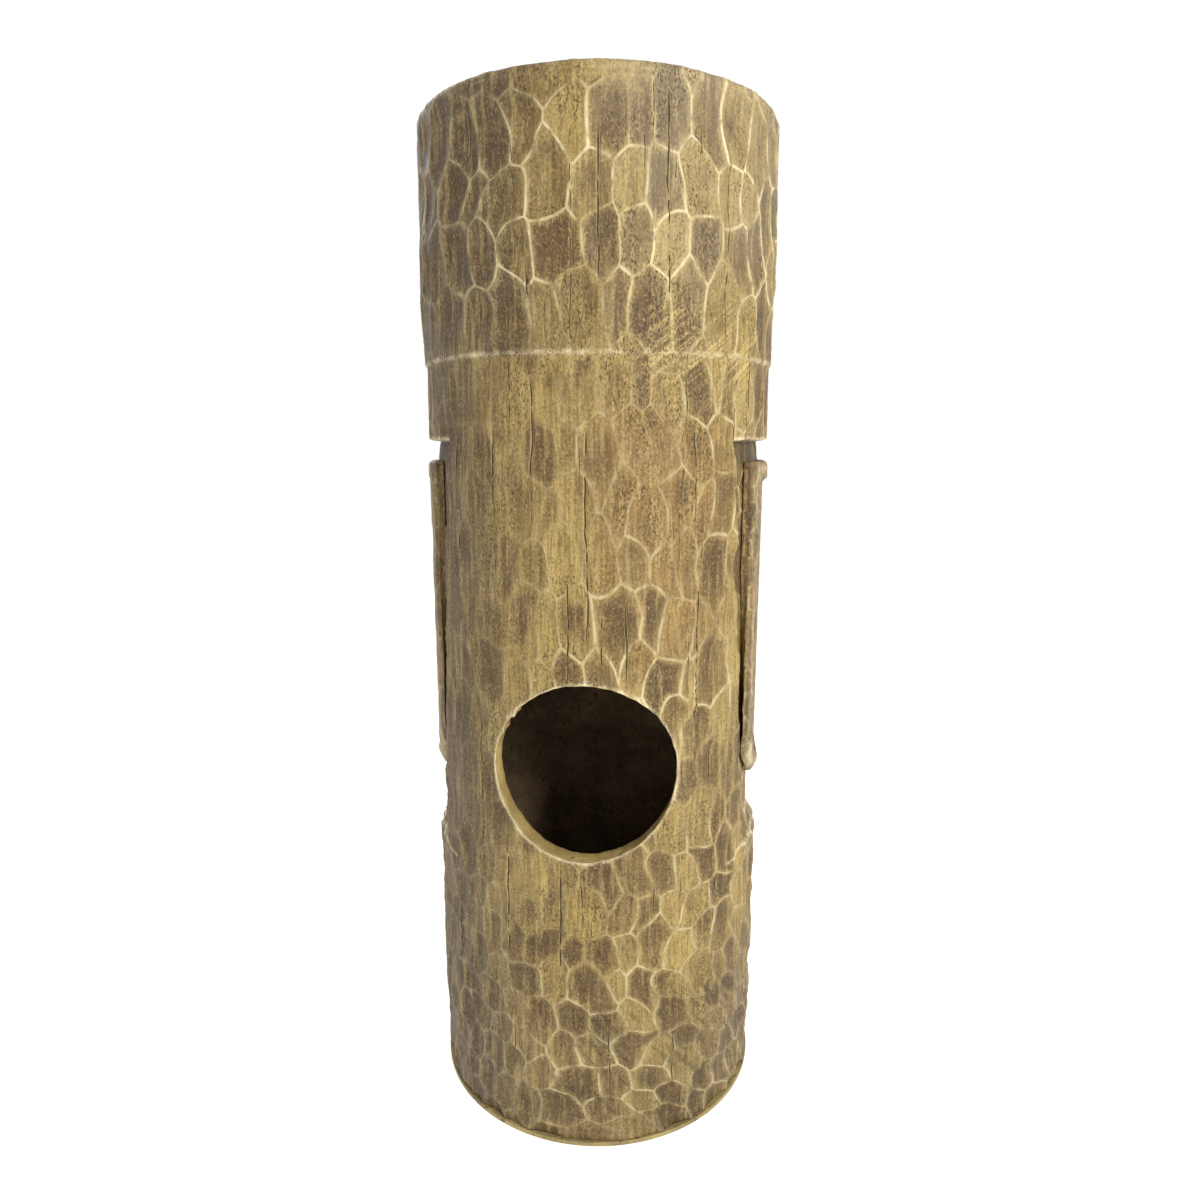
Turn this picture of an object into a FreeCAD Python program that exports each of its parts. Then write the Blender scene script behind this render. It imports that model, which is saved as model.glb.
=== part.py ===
"""A hollow garden tiki: a round cast column with a crown, a brow band, long ears and a face.

The column is cast as two half shells, back and face, that meet on the plane Y = 0 with a tongue in a
groove and are strapped together inside. Two long ear lobes are bonded and dowelled over the joint, a
slab drops into a rebate at the top, and a stepped disc is screwed on underneath. A hand hole goes
through the back. Millimetres, +Z up, the face looks along -Y, origin at the centre of the underside.
"""
import FreeCAD, Part
import math
import os

V = FreeCAD.Vector

# Radii of the column's outside
BASE_R = 160.0       # base, back panel and face panel
CROWN_BULGE = 2.0    # how far the crown swells past the base
BROW_INSET = 1.8     # how far the brow band is set in from the base
FOOT_INSET = 1.5     # how far the foot is set in from the base
RIM_ROUND = 7.0      # rounding of the top rim
WALL = 19.0          # thickness of the cast wall

# Heights of the zones, from the bottom up
DISC_EDGE = 4.0      # visible edge of the base disc
FOOT_H = 44.0        # slightly set-in foot above it
CREST_H = 208.0      # from the foot to the crest of the cove
COVE_H = 21.0        # concave slope from the crest up to the neck
NECK_H = 28.0        # plain neck under the chin
FACE_H = 309.0       # face panel, chin to brow
GROOVE_H = 16.0      # undercut between the face and the brow band
BROW_H = 65.0        # brow band, up to the band line
BAND_STEP = 6.0      # height of the small step at the band line
CROWN_H = 199.0      # crown, from the step to the rim

FOOT_Z = DISC_EDGE + FOOT_H
CREST_Z = FOOT_Z + CREST_H
NECK_Z = CREST_Z + COVE_H
CHIN_Z = NECK_Z + NECK_H
FACE_TOP_Z = CHIN_Z + FACE_H
BROW_Z = FACE_TOP_Z + GROOVE_H
BAND_Z = BROW_Z + BROW_H
CROWN_Z = BAND_Z + BAND_STEP
TOP_Z = CROWN_Z + CROWN_H

# The recess at the sides and under the face
RECESS_DEPTH = 10.0
PANEL_HALF_TOP = 124.0    # half width of the back panel at the brow groove
PANEL_FLARE = 0.051       # how much it widens for each millimetre down
FACE_SIDE_Y = 60.0        # the face panel's side edges lie this far in front of the axis

# The hand hole
HOLE_R = 78.0
HOLE_Z = 356.0

# The inside
JOINT_GAP = 0.4           # bed of adhesive between bonded pieces
BACKING = 23.0            # extra thickness behind the middle of the face
BACKING_EDGE_Y = 30.0     # the extra thickness ends this far in front of the axis
BACKING_MARGIN = 18.0     # it runs this far past the face panel, up and down
TONGUE_SHARE = 0.44       # share of the wall under the recess that the tongues take, in its middle
TONGUE_H = 6.0
TONGUE_END = 14.0         # it stops this far from the shells' ends
STRIP_T = 8.0             # bonding straps over the joint
STRIP_HALF_W = 26.0
STRIP_END = 6.0

# Top slab and base disc
CAP_T = 22.0
CAP_DROP = 4.0            # its top lies this far below the rim
CAP_SEAT = 8.0            # width of the ledge that it rests on
SPIGOT_H = 20.0           # how far the base disc's step stands up into the shells
SCREW_R = 2.5
SCREW_HEAD_R = 5.0
SCREW_HEAD_H = 2.8
SCREW_L = 40.0
SCREW_SINK = 0.5          # the heads lie this far inside the underside
SCREW_HOLE_EXTRA = 0.2
SCREW_COUNT = 4

# Ears
EAR_TOP_DROP = 2.0        # the ear's top lies this far under the face panel's top
EAR_FRONT_GAP = 10.0      # dark gap between the ear and the face panel
EAR_BACK_Y = 72.0         # its straight back edge lies this far behind the axis
EAR_BACK_GAP = 3.0        # least gap between that edge and the back panel
EAR_TIP_RISE = 6.0        # its tip stands this far above the chin's height
EAR_RIM = 16.0            # rim left round the hollow of the ear
EAR_HOLLOW = 4.0          # depth of that hollow
DOWEL_R = 4.0
DOWEL_COVER_EAR = 2.5     # left over a dowel's end in the ear, under its hollow
DOWEL_COVER_WALL = 3.0    # left over its other end in the wall
DOWEL_GAP = 0.15
DOWEL_SPOTS = ((40.0, 0.70), (-22.0, 0.34))   # Y, and the share of the ear's height

# Face
FIELD_DEPTH = 22.0        # depth of the sunk ground of the face
FIELD_HALF_TOP = 108.0
FIELD_HALF_CHIN = 74.0
FIELD_MARGIN = 12.0       # frame left above the ground, and below the chin
FEATURE_DROP = 2.0        # the features' tops lie this far inside the column's outside
BROW_BAR = 30.0           # thickness of the brow bars
BROW_RISE = 20.0          # how much they climb to the temples
BROW_MID_DROP = 26.0      # their lower edge in the middle, under the ground's top
EYE_X = 55.0
EYE_DROP = 92.0           # eye centre below the face panel's top
EYE_HALF_W = 36.0
EYE_HALF_H = 23.0
LID_W = 8.0
LID_DROP = 8.0            # the lids' level below the column's outside
BALL_DROP = 11.0          # the eyeballs' level
PUPIL_R = 8.0
PUPIL_DEPTH = 5.0
MOUTH_RISE = 62.0         # mouth centre above the chin
MOUTH_HALF_W = 74.0
MOUTH_HALF_H = 37.0
LIP_W = 15.0
TEETH_DROP = 9.0
TOOTH_GAP = 3.0
TEETH_PER_ROW = 6
NOSE_HALF_TOP = 15.0
NOSE_HALF_TIP = 37.0
NOSE_LIP_GAP = 12.0       # from the nose's underside to the upper lip
NOSTRIL_R = 7.5
NOSTRIL_DEPTH = 9.0

INNER_R = BASE_R - WALL
NECK_R = BASE_R - RECESS_DEPTH
THIN_WALL = WALL - RECESS_DEPTH
FIELD_R = BASE_R - FIELD_DEPTH
CAP_R = INNER_R + CAP_SEAT
LEDGE_Z = TOP_Z - CAP_DROP - CAP_T
EYE_Z = FACE_TOP_Z - EYE_DROP
MOUTH_Z = CHIN_Z + MOUTH_RISE
FAR = BASE_R + 60.0       # safely outside the column


def cylinder(radius, low, high, centre_y=0.0):
    return Part.makeCylinder(radius, high - low, V(0, centre_y, low))


def ring(inner, outer, low, high):
    return cylinder(outer, low, high).cut(cylinder(inner, low, high))


def block(low, high):
    return Part.makeBox(high[0] - low[0], high[1] - low[1], high[2] - low[2], V(*low))


def revolved(edges):
    """The solid made by turning a closed outline in the XZ plane about the Z axis."""
    return Part.Face(Part.Wire(edges)).revolve(V(0, 0, 0), V(0, 0, 1), 360)


def lines(points):
    """Straight edges through points, in order."""
    return [Part.makeLine(a, b) for a, b in zip(points, points[1:])]


def front_prism(points):
    """An outline of (X, Z) points, run straight back from in front of the column to its axis."""
    corners = [V(x, -FAR, z) for x, z in points]
    face = Part.Face(Part.makePolygon(corners + corners[:1]))
    return face.extrude(V(0, FAR, 0))


def front_oval(centre_x, centre_z, half_w, half_h):
    """The same for an ellipse, which may be wider than tall or the other way round."""
    centre = V(centre_x, -FAR, centre_z)
    if half_w >= half_h:
        curve = Part.Ellipse(centre + V(half_w, 0, 0), centre + V(0, 0, half_h), centre)
    else:
        curve = Part.Ellipse(centre + V(0, 0, half_h), centre + V(half_w, 0, 0), centre)
    return Part.Face(Part.Wire(curve.toShape())).extrude(V(0, FAR, 0))


def raised(outline, level_r):
    """The part of a front prism between the sunk ground and a level, rooted a little into the wall."""
    root = 1.0
    return outline.common(ring(FIELD_R - root, level_r, CHIN_Z, FACE_TOP_Z))


def mirrored(shape):
    return shape.mirror(V(0, 0, 0), V(1, 0, 0))


def outside():
    """The column's outside, turned from one outline: foot, base, brow band, band line, crown, rim."""
    foot_slope = 14.0
    rim_z = TOP_Z - RIM_ROUND
    brow_r = BASE_R - BROW_INSET
    crown_r = BASE_R + CROWN_BULGE
    points = [
        (0, DISC_EDGE), (BASE_R - FOOT_INSET, DISC_EDGE), (BASE_R - FOOT_INSET, FOOT_Z),
        (BASE_R, FOOT_Z + foot_slope), (BASE_R, FACE_TOP_Z), (brow_r, BROW_Z),
        (brow_r, BAND_Z), (BASE_R, CROWN_Z), (crown_r, CROWN_Z + CROWN_H * 0.25),
        (BASE_R, CROWN_Z + CROWN_H * 0.75), (BASE_R, rim_z),
    ]
    wall = [V(r, 0, z) for r, z in points]
    shoulder = RIM_ROUND * (1 - math.sqrt(0.5))
    rim = Part.Arc(wall[-1], V(BASE_R - shoulder, 0, TOP_Z - shoulder), V(BASE_R - RIM_ROUND, 0, TOP_Z))
    lid = [V(BASE_R - RIM_ROUND, 0, TOP_Z), V(0, 0, TOP_Z), wall[0]]
    return revolved(lines(wall) + [rim.toShape()] + lines(lid))


def recess():
    """What is cut from the sides and from under the face: a band with a concave foot."""
    inner_foot = V(NECK_R, 0, NECK_Z)
    crest = V(BASE_R, 0, CREST_Z)
    belly = V(NECK_R + RECESS_DEPTH * 0.29, 0, NECK_Z - COVE_H * 0.71)
    edges = [Part.Arc(inner_foot, belly, crest).toShape()]
    edges += lines([crest, V(FAR, 0, CREST_Z), V(FAR, 0, BROW_Z), V(NECK_R, 0, BROW_Z), inner_foot])
    return revolved(edges).cut(back_panel(0.0)).cut(face_panel())


def back_panel(grow):
    """The plain panel of the back, widening downwards, which the recess leaves standing."""
    over = 5.0
    low, high = CREST_Z - over, BROW_Z + over
    low_half = PANEL_HALF_TOP + PANEL_FLARE * (FACE_TOP_Z - low) + grow
    high_half = PANEL_HALF_TOP + PANEL_FLARE * (FACE_TOP_Z - high) + grow
    corners = [V(-low_half, 0, low), V(low_half, 0, low), V(high_half, 0, high), V(-high_half, 0, high)]
    return Part.Face(Part.makePolygon(corners + corners[:1])).extrude(V(0, FAR, 0))


def face_panel():
    """The block of the face, between the brow groove and the neck."""
    return block((-FAR, -FAR, CHIN_Z), (FAR, -FACE_SIDE_Y, FACE_TOP_Z))


def field():
    """The sunk ground of the face, a shield wider at the brow than at the chin."""
    top = FACE_TOP_Z - FIELD_MARGIN
    low = CHIN_Z + FIELD_MARGIN
    jaw = MOUTH_Z
    half = [(FIELD_HALF_TOP, top), (FIELD_HALF_TOP, jaw + MOUTH_HALF_H), (FIELD_HALF_CHIN, low)]
    outline = half + [(-x, z) for x, z in reversed(half)]
    return front_prism(outline).cut(cylinder(FIELD_R, CHIN_Z - 1, FACE_TOP_Z + 1))


def brow_bars():
    """Two heavy bars that climb from the bridge of the nose to the temples."""
    low = FACE_TOP_Z - FIELD_MARGIN - BROW_MID_DROP - BROW_BAR / 2
    half = [(0, low), (FIELD_HALF_TOP + 2, low + BROW_RISE)]
    top = [(FIELD_HALF_TOP + 2, low + BROW_RISE + BROW_BAR), (0, low + BROW_BAR)]
    outline = half + top + [(-x, z) for x, z in top[:1]] + [(-half[1][0], half[1][1])]
    return raised(front_prism(outline), BASE_R - FEATURE_DROP)


def eye():
    """One eye: a lid ring, a flat ball inside it and a pupil sunk into the ball."""
    lid = raised(front_oval(EYE_X, EYE_Z, EYE_HALF_W, EYE_HALF_H), BASE_R - LID_DROP)
    inner_w, inner_h = EYE_HALF_W - LID_W, EYE_HALF_H - LID_W
    opening = front_oval(EYE_X, EYE_Z, inner_w, inner_h).cut(cylinder(FIELD_R, CHIN_Z, FACE_TOP_Z))
    ball_margin = 3.0
    ball_oval = front_oval(EYE_X, EYE_Z, inner_w - ball_margin, inner_h - ball_margin)
    ball = raised(ball_oval, BASE_R - BALL_DROP)
    pupil_floor = cylinder(BASE_R - BALL_DROP - PUPIL_DEPTH, CHIN_Z, FACE_TOP_Z)
    pupil = front_oval(EYE_X, EYE_Z, PUPIL_R, PUPIL_R).cut(pupil_floor)
    return lid.cut(opening).fuse(ball.cut(pupil))


def nose():
    """A wedge that widens and stands out more towards its tip, with two nostrils from below."""
    bridge_z = FACE_TOP_Z - FIELD_MARGIN - BROW_MID_DROP
    tip_z = MOUTH_Z + MOUTH_HALF_H + NOSE_LIP_GAP
    wing_z = tip_z + NOSE_HALF_TIP * 0.7
    half = [(NOSE_HALF_TOP, bridge_z), (NOSE_HALF_TOP + 5, wing_z + NOSE_HALF_TIP * 0.6),
            (NOSE_HALF_TIP, wing_z), (NOSE_HALF_TIP - 5, tip_z)]
    outline = half + [(-x, z) for x, z in reversed(half)]
    wedge = raised(front_prism(outline), BASE_R - FEATURE_DROP)
    side = [(-FIELD_R + 2, bridge_z + 1), (-BASE_R + LID_DROP, bridge_z + 1), (-BASE_R, wing_z),
            (-BASE_R, tip_z - 1), (-FIELD_R + 2, tip_z - 1)]
    corners = [V(-FAR, y, z) for y, z in side]
    profile = Part.Face(Part.makePolygon(corners + corners[:1])).extrude(V(2 * FAR, 0, 0))
    keep = profile.fuse(block((-FAR, -FIELD_R + 1, CHIN_Z), (FAR, 0, FACE_TOP_Z)))
    body = wedge.common(keep)
    for x in (-NOSE_HALF_TIP * 0.5, NOSE_HALF_TIP * 0.5):
        depth_y = -(FIELD_R + BASE_R) / 2 + 2
        body = body.cut(Part.makeCylinder(NOSTRIL_R, NOSTRIL_DEPTH, V(x, depth_y, tip_z - 0.5)))
    return body


def mouth():
    """Thick lips round an open mouth with two rows of blunt teeth."""
    lips = raised(front_oval(0, MOUTH_Z, MOUTH_HALF_W, MOUTH_HALF_H), BASE_R - FEATURE_DROP)
    inner_w, inner_h = MOUTH_HALF_W - LIP_W, MOUTH_HALF_H - LIP_W
    opening = front_oval(0, MOUTH_Z, inner_w, inner_h)
    shape = lips.cut(opening.cut(cylinder(FIELD_R, CHIN_Z, FACE_TOP_Z)))
    pitch = 2 * inner_w / TEETH_PER_ROW
    for i in range(TEETH_PER_ROW):
        left = -inner_w + i * pitch + TOOTH_GAP / 2
        right = left + pitch - TOOTH_GAP
        for low, high in ((TOOTH_GAP / 2, inner_h), (-inner_h, -TOOTH_GAP / 2)):
            outline = [(left, MOUTH_Z + low), (right, MOUTH_Z + low), (right, MOUTH_Z + high),
                       (left, MOUTH_Z + high)]
            tooth = raised(front_prism(outline), BASE_R - TEETH_DROP)
            shape = shape.fuse(tooth.common(opening))
    return shape


def backing():
    """The crescent of extra thickness inside, behind the face."""
    half_x2 = INNER_R ** 2 - BACKING_EDGE_Y ** 2
    front_y = INNER_R - BACKING
    shift = (half_x2 + BACKING_EDGE_Y ** 2 - front_y ** 2) / (2 * (front_y - BACKING_EDGE_Y))
    low, high = CHIN_Z - BACKING_MARGIN, FACE_TOP_Z + BACKING_MARGIN
    reach = 1.0
    outer = cylinder(INNER_R + reach, low, high)
    hollow = cylinder(front_y + shift, low, high, shift)
    half = block((-FAR, -FAR, low), (FAR, -BACKING_EDGE_Y, high))
    return outer.cut(hollow).common(half)


def hollow():
    """The column's bore, with the rebate for the slab at its top."""
    over = 1.0
    bore = cylinder(INNER_R, DISC_EDGE - over, TOP_Z + over)
    return bore.fuse(cylinder(CAP_R, LEDGE_Z, TOP_Z + over))


def tongue(grow):
    """Both tongues of the side joints, or with grow their grooves."""
    low, high = DISC_EDGE + SPIGOT_H + TONGUE_END, LEDGE_Z - TONGUE_END
    root = 2.0
    half_w = THIN_WALL * TONGUE_SHARE / 2 + grow
    inner = INNER_R + THIN_WALL / 2 - half_w
    outer = INNER_R + THIN_WALL / 2 + half_w
    sides = []
    for side in (-1, 1):
        x = sorted((side * inner, side * outer))
        sides.append(block((x[0], -root, low - grow), (x[1], TONGUE_H + grow, high + grow)))
    return sides[0].fuse(sides[1])


def dowel_places():
    """(side, Y, Z) of each dowel between an ear and the wall."""
    low, high = ear_heights()
    return [(side, y, low + share * (high - low)) for side in (-1, 1) for y, share in DOWEL_SPOTS]


def dowels(grow):
    """The ears' dowels, or with grow their holes, which are as much deeper at both ends."""
    in_wall = THIN_WALL - DOWEL_COVER_WALL
    in_ear = RECESS_DEPTH - EAR_HOLLOW - DOWEL_COVER_EAR
    made = []
    for side, y, z in dowel_places():
        skin = math.sqrt(NECK_R ** 2 - y ** 2)
        start = V(side * (skin - in_wall - grow), y, z)
        made.append(Part.makeCylinder(DOWEL_R + grow, in_wall + in_ear + 2 * grow, start, V(side, 0, 0)))
    return made


def screw_places():
    """(X, Y) of each screw, in the middle of the wall, between the joints."""
    middle = INNER_R + (WALL - FOOT_INSET) / 2
    step = 2 * math.pi / SCREW_COUNT
    angles = [step * (i + 0.5) for i in range(SCREW_COUNT)]
    return [(middle * math.cos(a), middle * math.sin(a)) for a in angles]


def screws(grow):
    """Countersunk screws driven up through the base disc, or with grow their holes."""
    made = []
    for x, y in screw_places():
        head = Part.makeCone(SCREW_HEAD_R + grow, SCREW_R + grow, SCREW_HEAD_H, V(x, y, SCREW_SINK))
        shank = Part.makeCylinder(SCREW_R + grow, SCREW_L + grow, V(x, y, SCREW_SINK))
        shape = head.fuse(shank)
        if grow:
            shape = shape.fuse(Part.makeCylinder(SCREW_HEAD_R + grow, SCREW_SINK, V(x, y, 0)))
        made.append(shape.removeSplitter())
    return made


def column():
    """Both half shells in one, before they are parted at the side joints."""
    shape = outside().cut(recess()).cut(hollow())
    hole = Part.makeCylinder(HOLE_R, FAR, V(0, 0, HOLE_Z), V(0, 1, 0))
    return shape.cut(hole)


def face_shell():
    front = block((-FAR, -FAR, 0), (FAR, 0, TOP_Z + 1))
    shape = column().common(front).fuse(backing())
    shape = shape.cut(field())
    features = [brow_bars(), eye(), mirrored(eye()), nose(), mouth()]
    shape = shape.fuse(features).fuse(tongue(0.0))
    return shape.cut(dowels(DOWEL_GAP) + screws(SCREW_HOLE_EXTRA)).removeSplitter()


def rear_shell():
    back = block((-FAR, 0, 0), (FAR, FAR, TOP_Z + 1))
    shape = column().common(back).cut(tongue(JOINT_GAP))
    return shape.cut(dowels(DOWEL_GAP) + screws(SCREW_HOLE_EXTRA)).removeSplitter()


def ear_heights():
    return CHIN_Z + EAR_TIP_RISE, FACE_TOP_Z - EAR_TOP_DROP


def ear_outline(inset):
    """A long lobe seen from the side: straight edges, a flat top and a round tip."""
    low, high = ear_heights()
    front = -FACE_SIDE_Y + EAR_FRONT_GAP + inset
    back = EAR_BACK_Y - inset
    radius = (back - front) / 2
    middle = (back + front) / 2
    turn_z = low + inset + radius
    top = [V(0, front, turn_z), V(0, front, high - inset), V(0, back, high - inset), V(0, back, turn_z)]
    tip = Part.Arc(top[-1], V(0, middle, low + inset), top[0])
    face = Part.Face(Part.Wire(lines(top) + [tip.toShape()]))
    return face.extrude(V(FAR, 0, 0))


def ear():
    """The ear on the +X side: a lobe bonded on the wall, hollowed inside its rim."""
    low, high = ear_heights()
    body = ear_outline(0.0).common(ring(NECK_R + JOINT_GAP, BASE_R, low, high))
    body = body.cut(back_panel(EAR_BACK_GAP))
    dish = ear_outline(EAR_RIM).common(ring(BASE_R - EAR_HOLLOW, FAR, low, high))
    return body.cut(dish)


def left_ear():
    return ear().cut(dowels(DOWEL_GAP))


def right_ear():
    return mirrored(ear()).cut(dowels(DOWEL_GAP))


def crown_cap():
    """The slab that closes the top, resting on the ledge of the rebate."""
    return cylinder(CAP_R - JOINT_GAP, LEDGE_Z, LEDGE_Z + CAP_T)


def base_disc():
    """The stepped disc that the column stands on: a thin edge under the wall, a step up inside it."""
    edge = cylinder(BASE_R - FOOT_INSET, 0, DISC_EDGE)
    step = cylinder(INNER_R - JOINT_GAP, 0, DISC_EDGE + SPIGOT_H)
    return edge.fuse(step).removeSplitter().cut(screws(SCREW_HOLE_EXTRA))


def seam_strip(side):
    """A strap bonded inside over one side joint, from the base disc's step to the ledge."""
    low, high = DISC_EDGE + SPIGOT_H + STRIP_END, LEDGE_Z - STRIP_END
    outer = INNER_R - JOINT_GAP
    x = sorted((0.0, side * FAR))
    window = block((x[0], -STRIP_HALF_W, low), (x[1], STRIP_HALF_W, high))
    return ring(outer - STRIP_T, outer, low, high).common(window)


NODES = {
    "rear_shell": rear_shell,
    "face_shell": face_shell,
    "left_ear": left_ear,
    "right_ear": right_ear,
    "crown_cap": crown_cap,
    "base_disc": base_disc,
    "left_seam_strip": lambda: seam_strip(1),
    "right_seam_strip": lambda: seam_strip(-1),
    "ear_dowels": lambda: Part.makeCompound(dowels(0.0)),
    "base_screws": lambda: Part.makeCompound(screws(0.0)),
}


def main():
    os.makedirs("parts", exist_ok=True)
    for name, make in NODES.items():
        shape = make()
        solids = len(shape.Solids)
        print(f"{name}: {solids} solids, {shape.Volume / 1e3:.1f} cm3, valid {shape.isValid()}")
        shape.exportStep(f"parts/{name}.step")


main()
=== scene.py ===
"""The looks of the hollow tiki column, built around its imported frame.

The castings' outsides are worked out on fine grids in millimetres, over the angle round the column
(0 at the middle of the back, growing towards +X) and the height. Tool facets, cracks, chips and the
face are all depths below the column's outline. The same fields are kept on the vertices, and the
materials read them, so that colour and shape agree.
"""
import math

import bmesh
import bpy
import numpy as np
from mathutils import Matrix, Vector


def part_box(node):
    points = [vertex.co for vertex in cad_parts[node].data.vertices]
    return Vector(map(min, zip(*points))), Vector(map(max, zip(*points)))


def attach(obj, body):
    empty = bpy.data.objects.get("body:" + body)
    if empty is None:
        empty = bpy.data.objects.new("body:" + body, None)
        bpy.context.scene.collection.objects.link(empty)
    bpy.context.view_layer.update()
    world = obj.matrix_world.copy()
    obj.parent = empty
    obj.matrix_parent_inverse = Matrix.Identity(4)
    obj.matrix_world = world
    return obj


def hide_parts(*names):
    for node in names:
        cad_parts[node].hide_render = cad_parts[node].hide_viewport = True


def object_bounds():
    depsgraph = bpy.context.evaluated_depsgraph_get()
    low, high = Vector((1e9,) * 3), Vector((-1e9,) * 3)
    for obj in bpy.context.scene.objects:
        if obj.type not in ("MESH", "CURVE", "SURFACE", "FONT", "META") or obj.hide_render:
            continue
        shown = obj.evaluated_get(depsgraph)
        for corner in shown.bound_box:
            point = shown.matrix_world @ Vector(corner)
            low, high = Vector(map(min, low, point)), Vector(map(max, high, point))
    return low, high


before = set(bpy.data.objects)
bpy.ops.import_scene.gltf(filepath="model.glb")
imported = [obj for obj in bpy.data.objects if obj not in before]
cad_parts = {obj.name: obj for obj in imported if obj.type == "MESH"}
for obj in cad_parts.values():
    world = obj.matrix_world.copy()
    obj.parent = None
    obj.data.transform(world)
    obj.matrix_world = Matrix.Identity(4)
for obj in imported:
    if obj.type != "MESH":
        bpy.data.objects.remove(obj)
cad_low, cad_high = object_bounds()
MM = 0.001

# The column, as the frame has it
BASE_R = 160.0
CROWN_BULGE = 2.0
BROW_INSET = 1.8
FOOT_INSET = 1.5
INNER_R = 141.0
CAP_SEAT_R = 149.0
RIM_ROUND = 7.0
DISC_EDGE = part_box("rear_shell")[0].z / MM
TOP_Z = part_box("rear_shell")[1].z / MM
LEDGE_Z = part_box("crown_cap")[0].z / MM
CAP_TOP_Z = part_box("crown_cap")[1].z / MM
EAR_LOW_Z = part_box("left_ear")[0].z / MM
EAR_TOP_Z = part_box("left_ear")[1].z / MM
FOOT_Z = DISC_EDGE + 44
CREST_Z = 256.0
NECK_Z = 277.0
CHIN_Z = 305.0
FACE_TOP_Z = 614.0
BROW_Z = 630.0
BAND_Z = 695.0
RECESS = 10.0
PANEL_HALF_TOP = 124.0
PANEL_FLARE = 0.051
FACE_SIDE_Y = -60.0
HOLE_R = 78.0
HOLE_Z = 356.0
BACKING = 23.0
BACKING_EDGE_Y = 30.0
EAR_FRONT_Y = -50.0
EAR_BACK_Y = 72.0
EAR_GAP = 3.0
EAR_FOOT_R = 150.4

# The face, as the frame has it
FIELD_R = 138.0
FIELD_HALF_TOP = 108.0
FIELD_HALF_CHIN = 74.0
FIELD_MARGIN = 12.0
MOUTH_Z = CHIN_Z + 62
MOUTH_HALF = (74.0, 37.0)
LIP_W = 15.0
EYE_X = 55.0
EYE_Z = FACE_TOP_Z - 92
EYE_HALF = (36.0, 23.0)
BROW_LOW_Z = FACE_TOP_Z - FIELD_MARGIN - 41
NOSE_TIP_Z = MOUTH_Z + MOUTH_HALF[1] + 12

# The strokes of the gouge, in millimetres
BODY_STROKE_W = 26.5
BODY_CUT = 2.9
CROWN_STROKE_W = 30.5
CROWN_ROW_H = 47.0
CROWN_CUT = 3.6
CRACK_DEPTH = 1.7

# Heights on the body, and how many rows of strokes lie under each
ROW_HEIGHTS = (0.0, 60, 160, 250, 330, 695, 900)
ROWS_UNDER = (0.0, 2.1, 5.4, 8.0, 10.0, 17.9, 22.4)

# The grids, in millimetres
STEP = 1.25        # spacing of the back's fine grid
FACE_STEP = 1.7    # spacing of the front's
COARSE = 14.0      # spacing of the rows of the walls inside
HOLE_HALF = 50     # half the side, in grid squares, of the square that becomes the hand hole
BORE_SKEW = 2.5    # how far towards -X the hand hole's inner edge sits from its outer edge
HOLE_REACH = 2.1   # how far out the grid bends round it, in half squares
FAR_OFF = 30.0     # a distance that counts as far from any ridge or crack
LEAST_DEPTH = 0.15  # the skin stays at least this far inside the frame's outline


# ------------------------------------------------------------------ noise and small helpers

def smooth(x, low, high):
    """0 at low, 1 at high, smooth between; low may be the larger."""
    t = np.clip((x - low) / (high - low), 0.0, 1.0)
    return t * t * (3 - 2 * t)


def noise(x, y, z, seed=0):
    """Smooth value noise from -1 to 1, the same each time for the same seed."""
    table = np.random.default_rng(seed).random((64, 64, 64)) * 2 - 1
    xi, yi, zi = (np.floor(v).astype(np.int64) for v in (x, y, z))
    fx, fy, fz = x - xi, y - yi, z - zi
    fx, fy, fz = (f * f * (3 - 2 * f) for f in (fx, fy, fz))
    total = 0.0
    for dx in (0, 1):
        for dy in (0, 1):
            for dz in (0, 1):
                share = (fx if dx else 1 - fx) * (fy if dy else 1 - fy) * (fz if dz else 1 - fz)
                total = total + share * table[(xi + dx) & 63, (yi + dy) & 63, (zi + dz) & 63]
    return total


def skin_noise(angle, z, across, along, seed=0):
    """Noise on the column's skin that closes round it, with its two scales in millimetres."""
    x = np.sin(angle) * BASE_R / across
    y = np.cos(angle) * BASE_R / across
    return noise(x, y, z / along, seed)


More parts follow.
